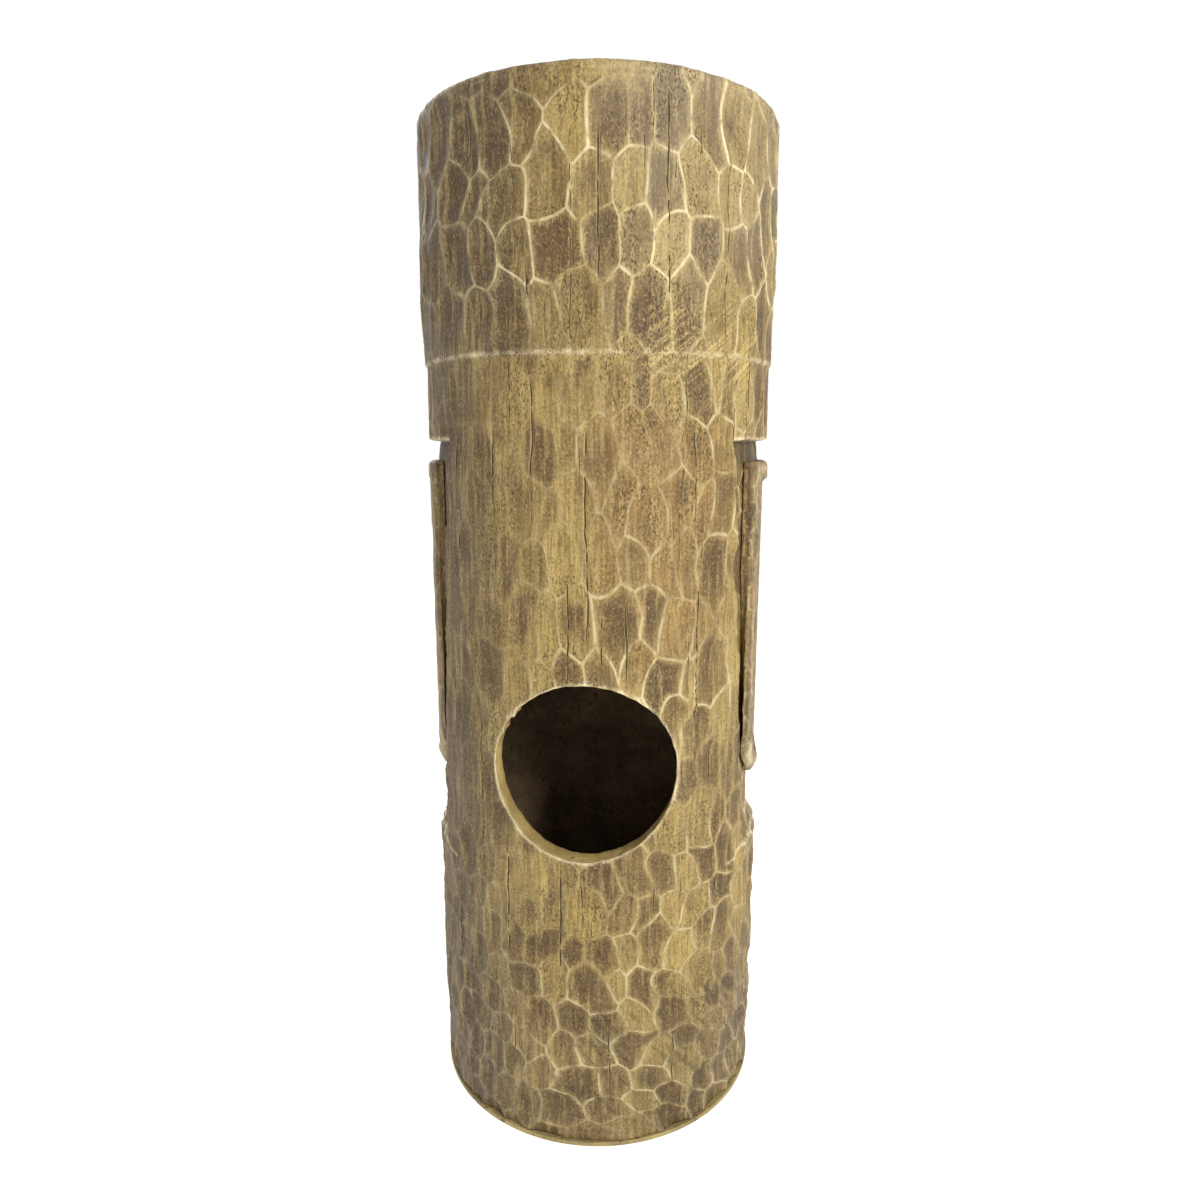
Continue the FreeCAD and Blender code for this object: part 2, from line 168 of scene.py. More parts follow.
def facets(angle, z_warped, width, seed, lopsided=0.25):
    """Gouge strokes. z_warped counts rows of strokes. Returns how high the skin stands in its stroke,
    from 0 at the bottom of the scoop, the distance to the nearest ridge, a value for the stroke, and
    how much dark stain has settled there, with painted shade added towards the stroke's upper end."""
    around = round(2 * math.pi * BASE_R / width)
    width = 2 * math.pi * BASE_R / around
    s = angle * BASE_R
    rows = 80
    table = np.random.default_rng(seed).random((7, rows, around))
    col, row = np.floor(s / width).astype(np.int64), np.floor(z_warped).astype(np.int64)
    best, second = np.full(s.shape, 1e9), np.full(s.shape, 1e9)
    slope = [np.zeros(s.shape) for _ in range(4)]
    tone, upper = np.zeros(s.shape), np.zeros(s.shape)
    for dj in (-2, -1, 0, 1, 2):
        for di in (-2, -1, 0, 1, 2):
            j, i = row + dj, col + di
            rnd = table[:, j % rows, i % around]
            ds = s - (i + 0.5 + 0.5 * (j % 2) + 0.46 * (rnd[0] - 0.5)) * width
            dz = z_warped - (j + 0.5 + 0.50 * (rnd[1] - 0.5))
            turn = 0.5 * (rnd[2] - 0.5)
            us = (ds / width + turn * dz) / (0.42 + 0.34 * rnd[3])
            uz = (dz - turn * ds / width) / (0.44 + 0.30 * rnd[4])
            uz = uz * np.where(uz > 0, 1 + lopsided, 1 - lopsided)
            q = us * us + uz * uz + 0.75 * (rnd[5] - 0.5)
            gs, gz = 4 * us / width, 4 * uz / (1.5 * width)
            nearer = q < best
            runner = ~nearer & (q < second)
            second = np.where(nearer, best, np.where(runner, q, second))
            slope[2] = np.where(nearer, slope[0], np.where(runner, gs, slope[2]))
            slope[3] = np.where(nearer, slope[1], np.where(runner, gz, slope[3]))
            best = np.where(nearer, q, best)
            slope[0] = np.where(nearer, gs, slope[0])
            slope[1] = np.where(nearer, gz, slope[1])
            tone = np.where(nearer, rnd[6], tone)
            upper = np.where(nearer, np.clip(uz, -1, 1), upper)
    steep = np.hypot(slope[0] - slope[2], slope[1] - slope[3])
    ridge = (second - best) / np.maximum(steep, 0.03)
    height = np.clip(best + 0.3, 0, 1.5)
    # dark stain in the scoop's floor, with painted shade weighted to the stroke's upper end
    wash_and_shade = np.clip(1 - height, 0, 1) * (0.75 + 0.4 * upper)
    return height, np.minimum(ridge, FAR_OFF), tone, wash_and_shade


# ------------------------------------------------------------------ the column's skin

CRACKS = (   # angle in degrees, lowest and highest point, width: the long ones of the back
    (-23.5, 728, 884, 1.5), (-19, 850, 893, 1.1), (-4.5, 748, 862, 1.3), (3, 690, 860, 0.8),
    (34.5, 796, 890, 1.5), (22, 640, 760, 1.0), (-31, 640, 740, 1.0), (-44, 700, 850, 1.0),
    (-1, 470, 640, 1.5), (15, 560, 690, 1.1), (28, 520, 640, 1.2), (-12.5, 436, 500, 1.5),
    (4.5, 436, 520, 1.5), (-5, 440, 500, 1.4), (-36, 356, 520, 1.5), (-42, 330, 420, 1.2),
    (-34, 560, 650, 1.1), (25.5, 180, 290, 1.5), (7.5, 172, 276, 1.6), (0.8, 214, 276, 1.4),
    (-22, 190, 280, 1.1), (36, 250, 420, 1.2), (-8, 40, 120, 1.0), (24, 60, 170, 0.9),
    (-30, 40, 160, 1.0), (-47, 200, 300, 1.1), (44, 470, 640, 1.0), (50, 90, 240, 1.0),
)


def all_cracks():
    """The chosen cracks of the back, and as many again strewn round the rest of the column."""
    rng = np.random.default_rng(41)
    strewn = []
    for _ in range(72):
        angle, low = rng.uniform(52, 308), rng.uniform(10, 800)
        strewn.append((angle, low, min(low + rng.uniform(50, 190), 892), rng.uniform(0.7, 1.5)))
    for _ in range(40):
        angle, low = rng.uniform(-52, 52), rng.uniform(10, 820)
        strewn.append((angle, low, min(low + rng.uniform(20, 70), 892), rng.uniform(0.5, 0.8)))
    return list(CRACKS) + strewn


def crack_field(angle, z):
    """Signed distance across the nearest crack, and how open it is there, from 0 to 1."""
    across = np.full(angle.shape, FAR_OFF)
    open_share = np.zeros(angle.shape)
    for number, (degrees, low, high, width) in enumerate(all_cracks()):
        off = (angle - math.radians(degrees) + math.pi) % (2 * math.pi) - math.pi
        near = (np.abs(off) < 0.05) & (z > low - 6) & (z < high + 6)
        if not near.any():
            continue
        zn, row = z[near], 0 * z[near] + number
        sway = 1.2 * noise(zn / 38, row, 0 * zn, 5) + 0.5 * noise(zn / 9, row, 0 * zn, 6)
        end = np.minimum(smooth(zn, low - 5, low + 16), smooth(zn, high + 5, high - 16))
        dashes = smooth(noise(zn / 5.5, row, 0 * zn, 7) + 0.6 * noise(zn / 17, row, 0 * zn, 8), -0.75, 0.25)
        away = off[near] * BASE_R - sway
        closer = np.abs(away) < np.abs(across[near])
        opened = width / 1.5 * end * dashes * smooth(np.abs(away), 4.5, 2.5)
        across[near] = np.where(closer, away, across[near])
        open_share[near] = np.where(closer, opened, open_share[near])
    return across, open_share


def outline(z):
    """The column's radius at a height, with no recess."""
    crown_z = BAND_Z + 6
    crown_h = TOP_Z - crown_z
    heights = [DISC_EDGE, FOOT_Z, FOOT_Z + 14, FACE_TOP_Z, BROW_Z, BAND_Z, BAND_Z + 3,
               crown_z + crown_h * 0.25, crown_z + crown_h * 0.75, TOP_Z]
    radii = [BASE_R - FOOT_INSET, BASE_R - FOOT_INSET, BASE_R, BASE_R, BASE_R - BROW_INSET,
             BASE_R - BROW_INSET, BASE_R, BASE_R + CROWN_BULGE, BASE_R, BASE_R]
    return np.interp(z, heights, radii)


def panel_edge(z):
    """Half the width of the back panel at a height."""
    return PANEL_HALF_TOP + PANEL_FLARE * (FACE_TOP_Z - z)


def recess_field(angle, z):
    """How deep the side recess and the neck are cut, and how near their bright upper edges are."""
    x, y = BASE_R * np.sin(angle), BASE_R * np.cos(angle)
    wobble = 1.4 * skin_noise(angle, z, 26, 17, 11) + 0.6 * skin_noise(angle, z, 6, 5, 12)
    inside_back = np.abs(x) - panel_edge(z) + wobble
    behind = smooth(inside_back, -1.2, 1.6)
    front_panel = smooth(y - FACE_SIDE_Y + 0.6 * wobble, 1.5, -1.5)
    front_panel = front_panel * smooth(z + 0.5 * wobble, CHIN_Z - 2, CHIN_Z + 3)
    front_panel = front_panel * smooth(z + 0.4 * wobble, FACE_TOP_Z + 1, FACE_TOP_Z - 1)
    side = np.where(y > 0, behind, 1 - front_panel)
    cove = np.sqrt(np.clip((z - CREST_Z + 0.25 * wobble) / (NECK_Z - CREST_Z), 0, 1))
    upper = smooth(z + 0.35 * wobble, BROW_Z + 0.7, BROW_Z - 0.7)
    depth = RECESS * side * np.minimum(cove, upper)
    # the crest's bright edge runs on down across the back panel for a little way
    trail = np.where(y > 0, np.clip(-inside_back, 0, 20), 0.0)
    marked = (side > 0.4) | ((y > 0) & (trail < 16))
    off_crest = np.abs(z - CREST_Z + 0.25 * wobble + 0.5 * trail)
    crest = np.where(marked, off_crest * (1 + 0.05 * trail), FAR_OFF)
    ledge = np.where(side > 0.4, np.abs(z - BROW_Z - 1.2), FAR_OFF)
    return depth, np.minimum(crest, ledge)


def skin(angle, z):
    """Every field of the outside at these places, as a dictionary."""
    s = angle * BASE_R
    drift = 8.0 * skin_noise(angle, z, 70, 60, 21) + 2.2 * skin_noise(angle, z, 15, 17, 37)
    rise = 8.0 * skin_noise(angle, z, 60, 70, 22) + 2.6 * skin_noise(angle, z, 14, 15, 38)
    # below the band line, rows of strokes are closer together towards the base
    row = np.interp(z + rise, ROW_HEIGHTS, ROWS_UNDER)
    diagonal = 0.3 * np.clip(170 - z, 0, 170) * smooth(angle, 0.3, -0.6)
    body = facets(angle + (drift + diagonal) / BASE_R, row, BODY_STROKE_W, 31, 0.3)
    crown = facets(angle + drift / BASE_R, (z + rise) / CROWN_ROW_H, CROWN_STROKE_W, 32, 0.22)
    in_crown = z > BAND_Z
    height, ridge, tone, wash_and_shade = (np.where(in_crown, c, b) for c, b in zip(crown, body))
    middle = smooth(z, 250, 330) * smooth(z, 700, 690)
    patchy = smooth(skin_noise(angle, z, 48, 60, 23), -0.5, 0.25)
    strength = np.where(in_crown, CROWN_CUT, BODY_CUT - 0.5 * middle) * (1 - middle * 0.55 * (1 - patchy))
    near_band = np.exp(-((z - BAND_Z) / np.where(in_crown, 34.0, 17.0)) ** 2)
    strength = strength * (1 - 0.72 * near_band) * (1 - 0.6 * smooth(z, TOP_Z - 26, TOP_Z - 4))
    thread = np.exp(-(ridge / 1.15) ** 2)
    depth = 0.5 + strength * (1.15 - np.minimum(height, 1.15)) - 0.22 * strength * thread
    # wide unevenness, wood grain and the roughness by the band line
    depth = depth + 0.5 * (1 + skin_noise(angle, z, 60, 120, 24)) * 0.5
    grain = skin_noise(angle, z, 2.6, 46, 25) + 0.7 * skin_noise(angle, z, 1.7, 20, 26)
    depth = depth + 0.13 * grain * (0.6 + middle)
    coarse, fine = skin_noise(angle, z, 5, 4, 27), skin_noise(angle, z, 2.4, 2.2, 28)
    depth = depth + near_band * (0.5 * np.abs(coarse) + 0.35 * np.abs(fine))
    scratched = smooth(angle, -0.15, -0.45) * smooth(angle, -1.2, -0.95) * np.exp(-((z - 700) / 34.0) ** 2)
    lines = noise((s + 1.5 * z) / 2.1, (z - 0.4 * s) / 34.0, z * 0, 29)
    depth = depth + 0.9 * scratched * smooth(lines, -0.1, -0.5)
    # the bright ridge of the band line itself
    band = np.abs(z - BAND_Z - 1.6 - 0.8 * skin_noise(angle, z, 22, 40, 30))
    depth = depth - 0.8 * np.exp(-(band / 1.5) ** 2)
    crack, opened = crack_field(angle, z)
    depth = depth + CRACK_DEPTH * opened * smooth(np.abs(crack), 1.1, 0.2)
    pale = np.exp(-(band / 2.0) ** 2) * (0.55 + 0.45 * skin_noise(angle, z, 9, 9, 33))
    worn_rim = smooth(z, TOP_Z - 9, TOP_Z - 4) * (0.6 + 0.5 * skin_noise(angle, z, 12, 6, 42))
    pale = np.maximum(pale, 0.6 * worn_rim)
    turned_to = (angle + math.pi) % (2 * math.pi) - math.pi
    # grey: painted shade on the +X half, away from the key light, strongest on the crown; also darker
    # patches, a darker crown, a darker far -X side and darker towards the foot
    start = np.where(in_crown, 0.0, 0.2)
    shaded_side = smooth(turned_to, start, start + 0.7) * smooth(turned_to, 2.9, 1.8)
    grey = 0.08 + shaded_side * np.where(in_crown, 1.35, 0.95)
    grey = grey + 0.4 * smooth(turned_to, -0.95, -1.5) + 0.2 * skin_noise(angle, z, 70, 90, 35)
    grey = grey + np.where(in_crown, 0.16, 0.0) + 0.5 * smooth(z, 210, 60)
    # a painted sheen, lighter and whiter, high on the crown towards -X where the key light glances
    sheen_and_whitening = smooth(turned_to, 0.05, -0.35) * smooth(turned_to, -2.0, -1.2) * smooth(z, 715, 800)
    sheen_and_whitening = sheen_and_whitening * (0.7 + 0.4 * skin_noise(angle, z, 40, 50, 39))
    hatching = smooth(turned_to, 0.2, -0.1) * smooth(turned_to, -1.3, -0.9)
    hatching = hatching * smooth(z, 170, 120) * smooth(z, 20, 40)
    cuts = noise((s - 0.9 * z) / 5.5, (z + 0.9 * s) / 30.0, 0 * z, 40)
    dark = 0.42 * hatching * smooth(cuts, 0.05, 0.55)
    depth = depth + 1.2 * hatching * smooth(cuts, 0.0, 0.6)
    brush = np.where(in_crown, 1.0, 0.66 - 0.28 * middle * smooth(turned_to, -0.1, 0.5))
    brush = brush * (0.75 + 0.6 * skin_noise(angle, z, 55, 70, 36))
    brush = brush * (1 - 0.5 * near_band) * (1 - 0.5 * smooth(turned_to, 0.1, 0.9))
    warm = smooth(angle, 0.1, -0.2) * smooth(angle, -1.0, -0.6) * smooth(z, 400, 480) * smooth(z, 690, 630)
    foot = smooth(z, DISC_EDGE + 5, DISC_EDGE)
    depth = depth + 1.3 * foot * (0.6 + 0.4 * skin_noise(angle, z, 9, 9, 34))
    return {"depth": np.maximum(depth, LEAST_DEPTH), "ridge": ridge, "tone": tone, "crack": crack,
            "opened": opened, "pale": pale, "floor": wash_and_shade, "dark": dark,
            "scratch": scratched * smooth(lines, 0.12, 0.45), "warm": warm, "grey": grey,
            "brush": np.clip(brush, 0.05, 1), "sheen_and_whitening": sheen_and_whitening}


def sunk_shade(x, z):
    """How much painted shade the recess gets: dark under the brow and, by the back, more so on the +X side.
    """
    return np.maximum(np.where(x > 0, 0.75, 0.15), smooth(z, FACE_TOP_Z - 14, FACE_TOP_Z + 2))


def rear_skin(angle, z):
    """The back's outside: the skin with the side recess and the moulded lip round the hand hole."""
    f = skin(angle, z)
    cut, edge = recess_field(angle, z)
    sunk = cut / RECESS
    crumb = 0.9 * np.abs(skin_noise(angle, z, 5, 7, 51)) + 0.4 * np.abs(skin_noise(angle, z, 2, 2, 52))
    f["depth"] = f["depth"] * (1 - 0.75 * sunk) + cut + crumb * sunk * smooth(z, NECK_Z - 6, NECK_Z + 8)
    x = BASE_R * np.sin(angle)
    # painted shade in the side recess, heaviest under the brow and on the +X side
    f["dark"] = f["dark"] + sunk * smooth(z, NECK_Z, NECK_Z + 30) * sunk_shade(x, z)
    f["warm"] = np.maximum(f["warm"], sunk)
    f["pale"] = np.maximum(f["pale"] * (1 - 0.8 * sunk), 0.95 * np.exp(-(edge / 1.8) ** 2))
    away = np.hypot(x, z - HOLE_Z) - HOLE_R
    lip = np.exp(-(np.maximum(away, 0) / 2.4) ** 2) * np.where(np.cos(angle) > 0, 1, 0)
    broken = 0.8 + 0.35 * skin_noise(angle, z, 8, 8, 53)
    f["depth"] = f["depth"] * (1 - 0.8 * lip) - 0.35 * lip * broken
    f["pale"] = np.maximum(f["pale"], lip * broken)
    return f


def oval(x, z, half_w, half_h):
    """Distance outside an ellipse, roughly, in millimetres; negative inside."""
    k = np.hypot(x / half_w, z / half_h)
    return (k - 1) * min(half_w, half_h)


def capsule(x, z, start, end, radius):
    """Distance outside a bar with round ends."""
    dx, dz = end[0] - start[0], end[1] - start[1]
    t = np.clip(((x - start[0]) * dx + (z - start[1]) * dz) / (dx * dx + dz * dz), 0, 1)
    return np.hypot(x - start[0] - t * dx, z - start[1] - t * dz) - radius


def dome(distance, width, base, top):
    """A swelling that rises from base at its edge to top, width inside the edge."""
    t = np.clip(-distance / width, 0, 1)
    return np.where(distance < 0, base + (top - base) * np.sqrt(1 - (1 - t) ** 2), 0)


def face_relief(x, z):
    """The radius of the face inside its sunk field, for X across it; it is the same on both sides."""
    ax = np.abs(x)
    level = np.full(x.shape, FIELD_R)
    cheek = oval(ax - 74, z - FACE_TOP_Z + 152, 34, 44)
    level = np.maximum(level, dome(cheek, 30, FIELD_R - 1, 150.0))
    chin = oval(ax, z - CHIN_Z - 17, 60, 17)
    level = np.maximum(level, dome(chin, 14, FIELD_R - 1, 151.0))
    fold = capsule(ax, z, (42, FACE_TOP_Z - 168), (86, CHIN_Z + 81), 7.0)
    level = np.maximum(level, dome(fold, 7, FIELD_R, 151.0))
    # eyes: a heavy lid ring, a ball and a drilled pupil
    ex, ez = ax - EYE_X, z - EYE_Z + 0.10 * (ax - EYE_X)
    socket = oval(ex, ez, EYE_HALF[0] + 7, EYE_HALF[1] + 7)
    level = np.where(socket < 0, np.minimum(level, FIELD_R), level)
    lid = np.abs(oval(ex, ez, EYE_HALF[0] - 4, EYE_HALF[1] - 4)) - 4.2
    ball = oval(ex, ez, EYE_HALF[0] - 10, EYE_HALF[1] - 9)
    level = np.maximum(level, dome(lid, 4.2, FIELD_R + 6, 152.5))
    level = np.maximum(level, dome(ball, 14, FIELD_R, 149.0))
    pupil = np.hypot(ex, ez)
    level = level - 5.0 * smooth(pupil, 8.6, 6.6)
    # brow bars climbing to the temples
    bar_low, bar_high = (0, BROW_LOW_Z + 15), (FIELD_HALF_TOP, BROW_LOW_Z + 35)
    bar = capsule(ax, z, bar_low, bar_high, 16.0)
    level = np.maximum(level, dome(bar, 15, FIELD_R + 6, 158.5))
    # nose: a ridge that widens into two wings, flat underneath
    down = np.clip((BROW_LOW_Z + 10 - z) / (BROW_LOW_Z + 10 - NOSE_TIP_Z), 0, 1)
    half = 14 + 7 * down
    bridge = np.where((z > NOSE_TIP_Z) & (z < BROW_LOW_Z + 16), ax - half, FAR_OFF)
    level = np.maximum(level, dome(bridge, 15, FIELD_R + 4, 150.0 + 9.0 * down ** 0.8))
    wing = oval(ax - 22, z - NOSE_TIP_Z - 15, 17, 16)
    level = np.maximum(level, dome(wing, 13, FIELD_R + 3, 156.5))
    tip = oval(ax, z - NOSE_TIP_Z - 17, 19, 18)
    level = np.maximum(level, dome(tip, 15, FIELD_R + 6, 159.4))
    nostril = np.hypot(ax - 20, (z - NOSE_TIP_Z - 4) * 1.2)
    level = level - 9.0 * smooth(nostril, 8.5, 4.5)
    # mouth: thick lips round two rows of teeth
    mouth = oval(ax, z - MOUTH_Z, *MOUTH_HALF)
    inner_w, inner_h = MOUTH_HALF[0] - LIP_W, MOUTH_HALF[1] - LIP_W
    gape = oval(ax, z - MOUTH_Z, inner_w, inner_h)
    lips = np.maximum(mouth, -gape)
    level = np.where(mouth < 0, np.minimum(level, FIELD_R), level)
    level = np.maximum(level, dome(lips, 7.2, FIELD_R + 7, 157.8))
    pitch = inner_w / 3
    across = (ax % pitch) - pitch / 2
    row = np.abs(z - MOUTH_Z) - 1.6
    height = inner_h * np.sqrt(np.clip(1 - (ax / inner_w) ** 2, 0, 1))
    tooth = np.maximum(np.abs(across) - pitch / 2 + 1.5, np.maximum(-row, row - height + 1.0))
    teeth = np.where(gape < 0, dome(tooth, 4.5, FIELD_R + 2, 151.5), 0)
    return np.maximum(level, teeth)


def face_skin(angle, z):
    """The front's outside: the skin, the recess at the sides and the face sunk in its panel."""
    f = skin(angle, z)
    cut, edge = recess_field(angle, z)
    sunk = cut / RECESS
    crumb = 0.8 * np.abs(skin_noise(angle, z, 6, 8, 61))
    x = BASE_R * np.sin(angle)
    jaw = MOUTH_Z + MOUTH_HALF[1]
    top, low = FACE_TOP_Z - FIELD_MARGIN, CHIN_Z + FIELD_MARGIN
    half = np.interp(z, [low, jaw, top], [FIELD_HALF_CHIN, FIELD_HALF_TOP, FIELD_HALF_TOP])
    wobble = 1.2 * skin_noise(angle, z, 22, 22, 62)
    side = np.abs(x) - half + wobble
    ends = np.maximum(z - top, low - z) + 0.7 * wobble
    rounded = np.hypot(side + 14, ends + 14) - 14
    corner = np.where((side > -14) & (ends > -14), rounded, np.maximum(side, ends))
    field = smooth(corner, 1.8, -3.2) * np.where(np.cos(angle) < 0, 1, 0)
    relief = face_relief(x, z)
    f["opened"] = f["opened"] * smooth(corner, 2.0, 12.0)
    # smaller, shallower strokes inside the face
    small = facets(angle + 0.004 * wobble, (z + 3 * wobble) / 19.0, 13.5, 63, 0.1)
    cuts = 0.75 * (1.1 - np.minimum(small[0], 1.1)) - 0.15 * np.exp(-(small[1] / 1.0) ** 2)
    carved = outline(z) - relief + 0.3 + cuts + 0.12 * skin_noise(angle, z, 2.4, 30, 64)
    plain = f["depth"] * (1 - 0.75 * sunk) + cut + crumb * sunk
    f["depth"] = plain * (1 - field) + carved * field
    f["ridge"] = np.where(field > 0.5, small[1], f["ridge"])
    f["tone"] = np.where(field > 0.5, small[2], f["tone"])
    f["floor"] = np.where(field > 0.5, small[3] * 0.7, f["floor"])
    # painted shade: darker in the face's deepest hollows and in the side recess
    deep_face_shade = smooth(outline(z) - relief, 12, 21) * field
    shade_and_grime = sunk * smooth(z, NECK_Z, NECK_Z + 30) * 0.8
    f["dark"] = np.maximum(f["dark"] + shade_and_grime, 0.85 * deep_face_shade)
    rim = np.exp(-((corner - 2.6) / 1.4) ** 2) * np.where(np.cos(angle) < 0, 1, 0)
    raised = smooth(relief, 155.5, 158.0) * field * 0.5
    f["pale"] = np.maximum.reduce([f["pale"], 0.9 * np.exp(-(edge / 1.3) ** 2), 0.8 * rim, raised])
    return f


def cavity_radius(angle, z):
    """The radius of the wall inside, which stands further in behind the face."""
    front_y = INNER_R - BACKING
    half_x2 = INNER_R ** 2 - BACKING_EDGE_Y ** 2
    shift = (half_x2 + BACKING_EDGE_Y ** 2 - front_y ** 2) / (2 * (front_y - BACKING_EDGE_Y))
    big = front_y + shift
    c = -np.cos(angle) * shift
    behind_face = -c + np.sqrt(np.maximum(c * c + big * big - shift * shift, 0))
    radius = np.where(-np.cos(angle) * INNER_R > BACKING_EDGE_Y, np.minimum(behind_face, INNER_R), INNER_R)
    zone = smooth(z, CHIN_Z - 18, CHIN_Z - 2) * smooth(z, FACE_TOP_Z + 18, FACE_TOP_Z + 2)
    return INNER_R + (radius - INNER_R) * zone


# ------------------------------------------------------------------ meshes

# What the materials read at each point, with its value where a piece doesn't set it
FIELDS = {"ridge": FAR_OFF, "tone": 0.5, "crack": FAR_OFF, "opened": 0.0, "pale": 0.0, "floor": 0.0,
          "dark": 0.0, "scratch": 0.0, "warm": 0.0, "grey": 0.3, "brush": 0.6, "sheen_and_whitening": 0.0}


class Builder:
    """Collects points, faces and the fields on the points, and makes one mesh object of them."""

    def __init__(self):
        self.points, self.quads, self.slots, self.polygons = [], [], [], []
        self.fields = {name: [] for name in FIELDS}
        self.count = 0

    def add(self, x, y, z, fields=None):
        """Adds an array of points and returns their numbers in the same shape."""
        x, y, z = np.broadcast_arrays(x, y, z)
        numbers = np.arange(self.count, self.count + x.size).reshape(x.shape)
        self.points.append(np.stack([x.ravel(), y.ravel(), z.ravel()], 1))
        for name, plain in FIELDS.items():
            value = plain if fields is None else fields.get(name, plain)
            self.fields[name].append(np.broadcast_to(value, x.shape).ravel().astype(float))
        self.count += x.size
        return numbers

    def where(self, numbers):
        """The coordinates of points that were added, by their numbers."""
        return np.concatenate(self.points)[numbers]

    def grid(self, numbers, slot=0, keep=None):
        """Quads between the rows and columns of an array of point numbers."""
        quads = np.stack([numbers[:-1, :-1], numbers[1:, :-1], numbers[1:, 1:], numbers[:-1, 1:]], 2)
        quads = quads.reshape(-1, 4) if keep is None else quads[keep]
        self.quads.append(quads)
        self.slots.append(np.full(len(quads), slot))

    def polygon(self, numbers, slot=0):
        """One flat face over a closed loop of point numbers."""
        self.polygons.append(([int(n) for n in numbers], slot))

    def make(self, name, node, materials):
        """The object, riding on the root in place of its CAD node."""
        quads = np.concatenate(self.quads)
        extra = [n for polygon, _ in self.polygons for n in polygon]
        sizes = np.array([4] * len(quads) + [len(p) for p, _ in self.polygons])
        starts = np.concatenate([[0], np.cumsum(sizes)[:-1]])
        slots = np.concatenate(self.slots + [[s for _, s in self.polygons]])
        flat = np.array([False] * len(quads) + [True] * len(self.polygons))
        mesh = bpy.data.meshes.new(name)
        mesh.vertices.add(self.count)
        mesh.vertices.foreach_set("co", (np.concatenate(self.points) * MM).ravel())
        mesh.loops.add(int(sizes.sum()))
        mesh.loops.foreach_set("vertex_index", np.concatenate([quads.ravel(), extra]).astype(np.int32))
        mesh.polygons.add(len(sizes))
        mesh.polygons.foreach_set("loop_start", starts.astype(np.int32))
        mesh.polygons.foreach_set("material_index", slots.astype(np.int32))
        mesh.update(calc_edges=True)
        mesh.polygons.foreach_set("use_smooth", ~flat)
        for field, values in self.fields.items():
            layer = mesh.attributes.new(field, "FLOAT", "POINT")
            layer.data.foreach_set("value", np.concatenate(values).astype(np.float32))
        whole = bmesh.new()
        whole.from_mesh(mesh)
        bmesh.ops.recalc_face_normals(whole, faces=whole.faces)
        whole.to_mesh(mesh)
        whole.free()
        for material in materials:
            mesh.materials.append(material)
        piece = bpy.data.objects.new(name, mesh)
        bpy.context.scene.collection.objects.link(piece)
        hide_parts(node)
        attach(piece, "root")
        return piece


def polar(angle, radius):
    """X and Y of a point at an angle and a distance from the axis."""
    return radius * np.sin(angle), radius * np.cos(angle)


def around_hole(x, z, col, row):
    """Bends the grid lines round the hand hole. col and row count from its middle. Gives the new
    X and Z and how many half squares out each point is, which is 1 on the hole's edge."""
    out = np.maximum(np.abs(col), np.abs(row)) / HOLE_HALF
    turn = np.arctan2(row, col)
    ragged = 0.3 * np.sin(5 * turn + 1) + 0.2 * np.sin(11 * turn) + 0.18 * np.sin(23 * turn + 2)
    ragged = ragged + 0.15 * np.sin(41 * turn + 1) - 2.2 * np.exp(-((turn - 0.67) / 0.03) ** 2)
    ragged = ragged - 1.2 * np.exp(-((turn - 0.42) / 0.025) ** 2)
    ragged = ragged + 0.8 * np.exp(-((turn - 0.55) / 0.03) ** 2)
    radius = (HOLE_R + ragged * smooth(out, 1.25, 1.0)) * (1 + 0.62 * (out - 1))
    t = smooth(out, 1.0, HOLE_REACH)
    bent_x = (1 - t) * radius * np.cos(turn) + t * x
    bent_z = (1 - t) * (HOLE_Z + radius * np.sin(turn)) + t * z
    near = out < HOLE_REACH
    return np.where(near, bent_x, x), np.where(near, bent_z, z), out


def cavity(angle, z):
    """The radius of the rough wall inside."""
    lumps = skin_noise(angle, z, 30, 26, 81) + 0.5 * skin_noise(angle, z, 8, 7, 82)
    return cavity_radius(angle, z) + 0.3 - 0.6 * np.abs(lumps)


def rim_rows(b, angles, last_r, last_f):
    """The casting's rounded rim, its flat, the rebate for the lid and the ledge under that."""
    chip = 0.7 + 0.9 * np.abs(skin_noise(angles, 0 * angles, 17, 10, 71))
    rows = []
    start = TOP_Z - RIM_ROUND
    for t in np.linspace(0.12, 1, 8):
        rise = RIM_ROUND * np.sin(t * np.pi / 2)
        drop = RIM_ROUND * (1 - np.cos(t * np.pi / 2))
        lump = 0.3 * skin_noise(angles, rise + 0 * angles, 6, 3, 72)
        fields = dict(last_f, pale=0.45 * t * (0.7 + 0.3 * skin_noise(angles, 0 * angles, 9, 9, 74)))
        x, y = polar(angles, last_r - drop * np.minimum(chip, 0.75) + lump)
        rows.append(b.add(x, y, start + rise - 0.4 * chip * t + 0.2 * lump, fields))
    rim_r, rim_z = last_r - drop * np.minimum(chip, 0.75), start + rise - 0.4 * chip
    for t in (0.35, 0.7, 1.0):
        lump = 0.2 * skin_noise(angles, 40 * t + 0 * angles, 7, 10, 73)
        radius = rim_r + (CAP_SEAT_R - rim_r) * t
        rows.append(b.add(*polar(angles, radius), rim_z + lump, dict(last_f, pale=0.3)))
    for z in np.linspace(TOP_Z - 3.5, LEDGE_Z, 5):
        rows.append(b.add(*polar(angles, CAP_SEAT_R), z))
    return rows


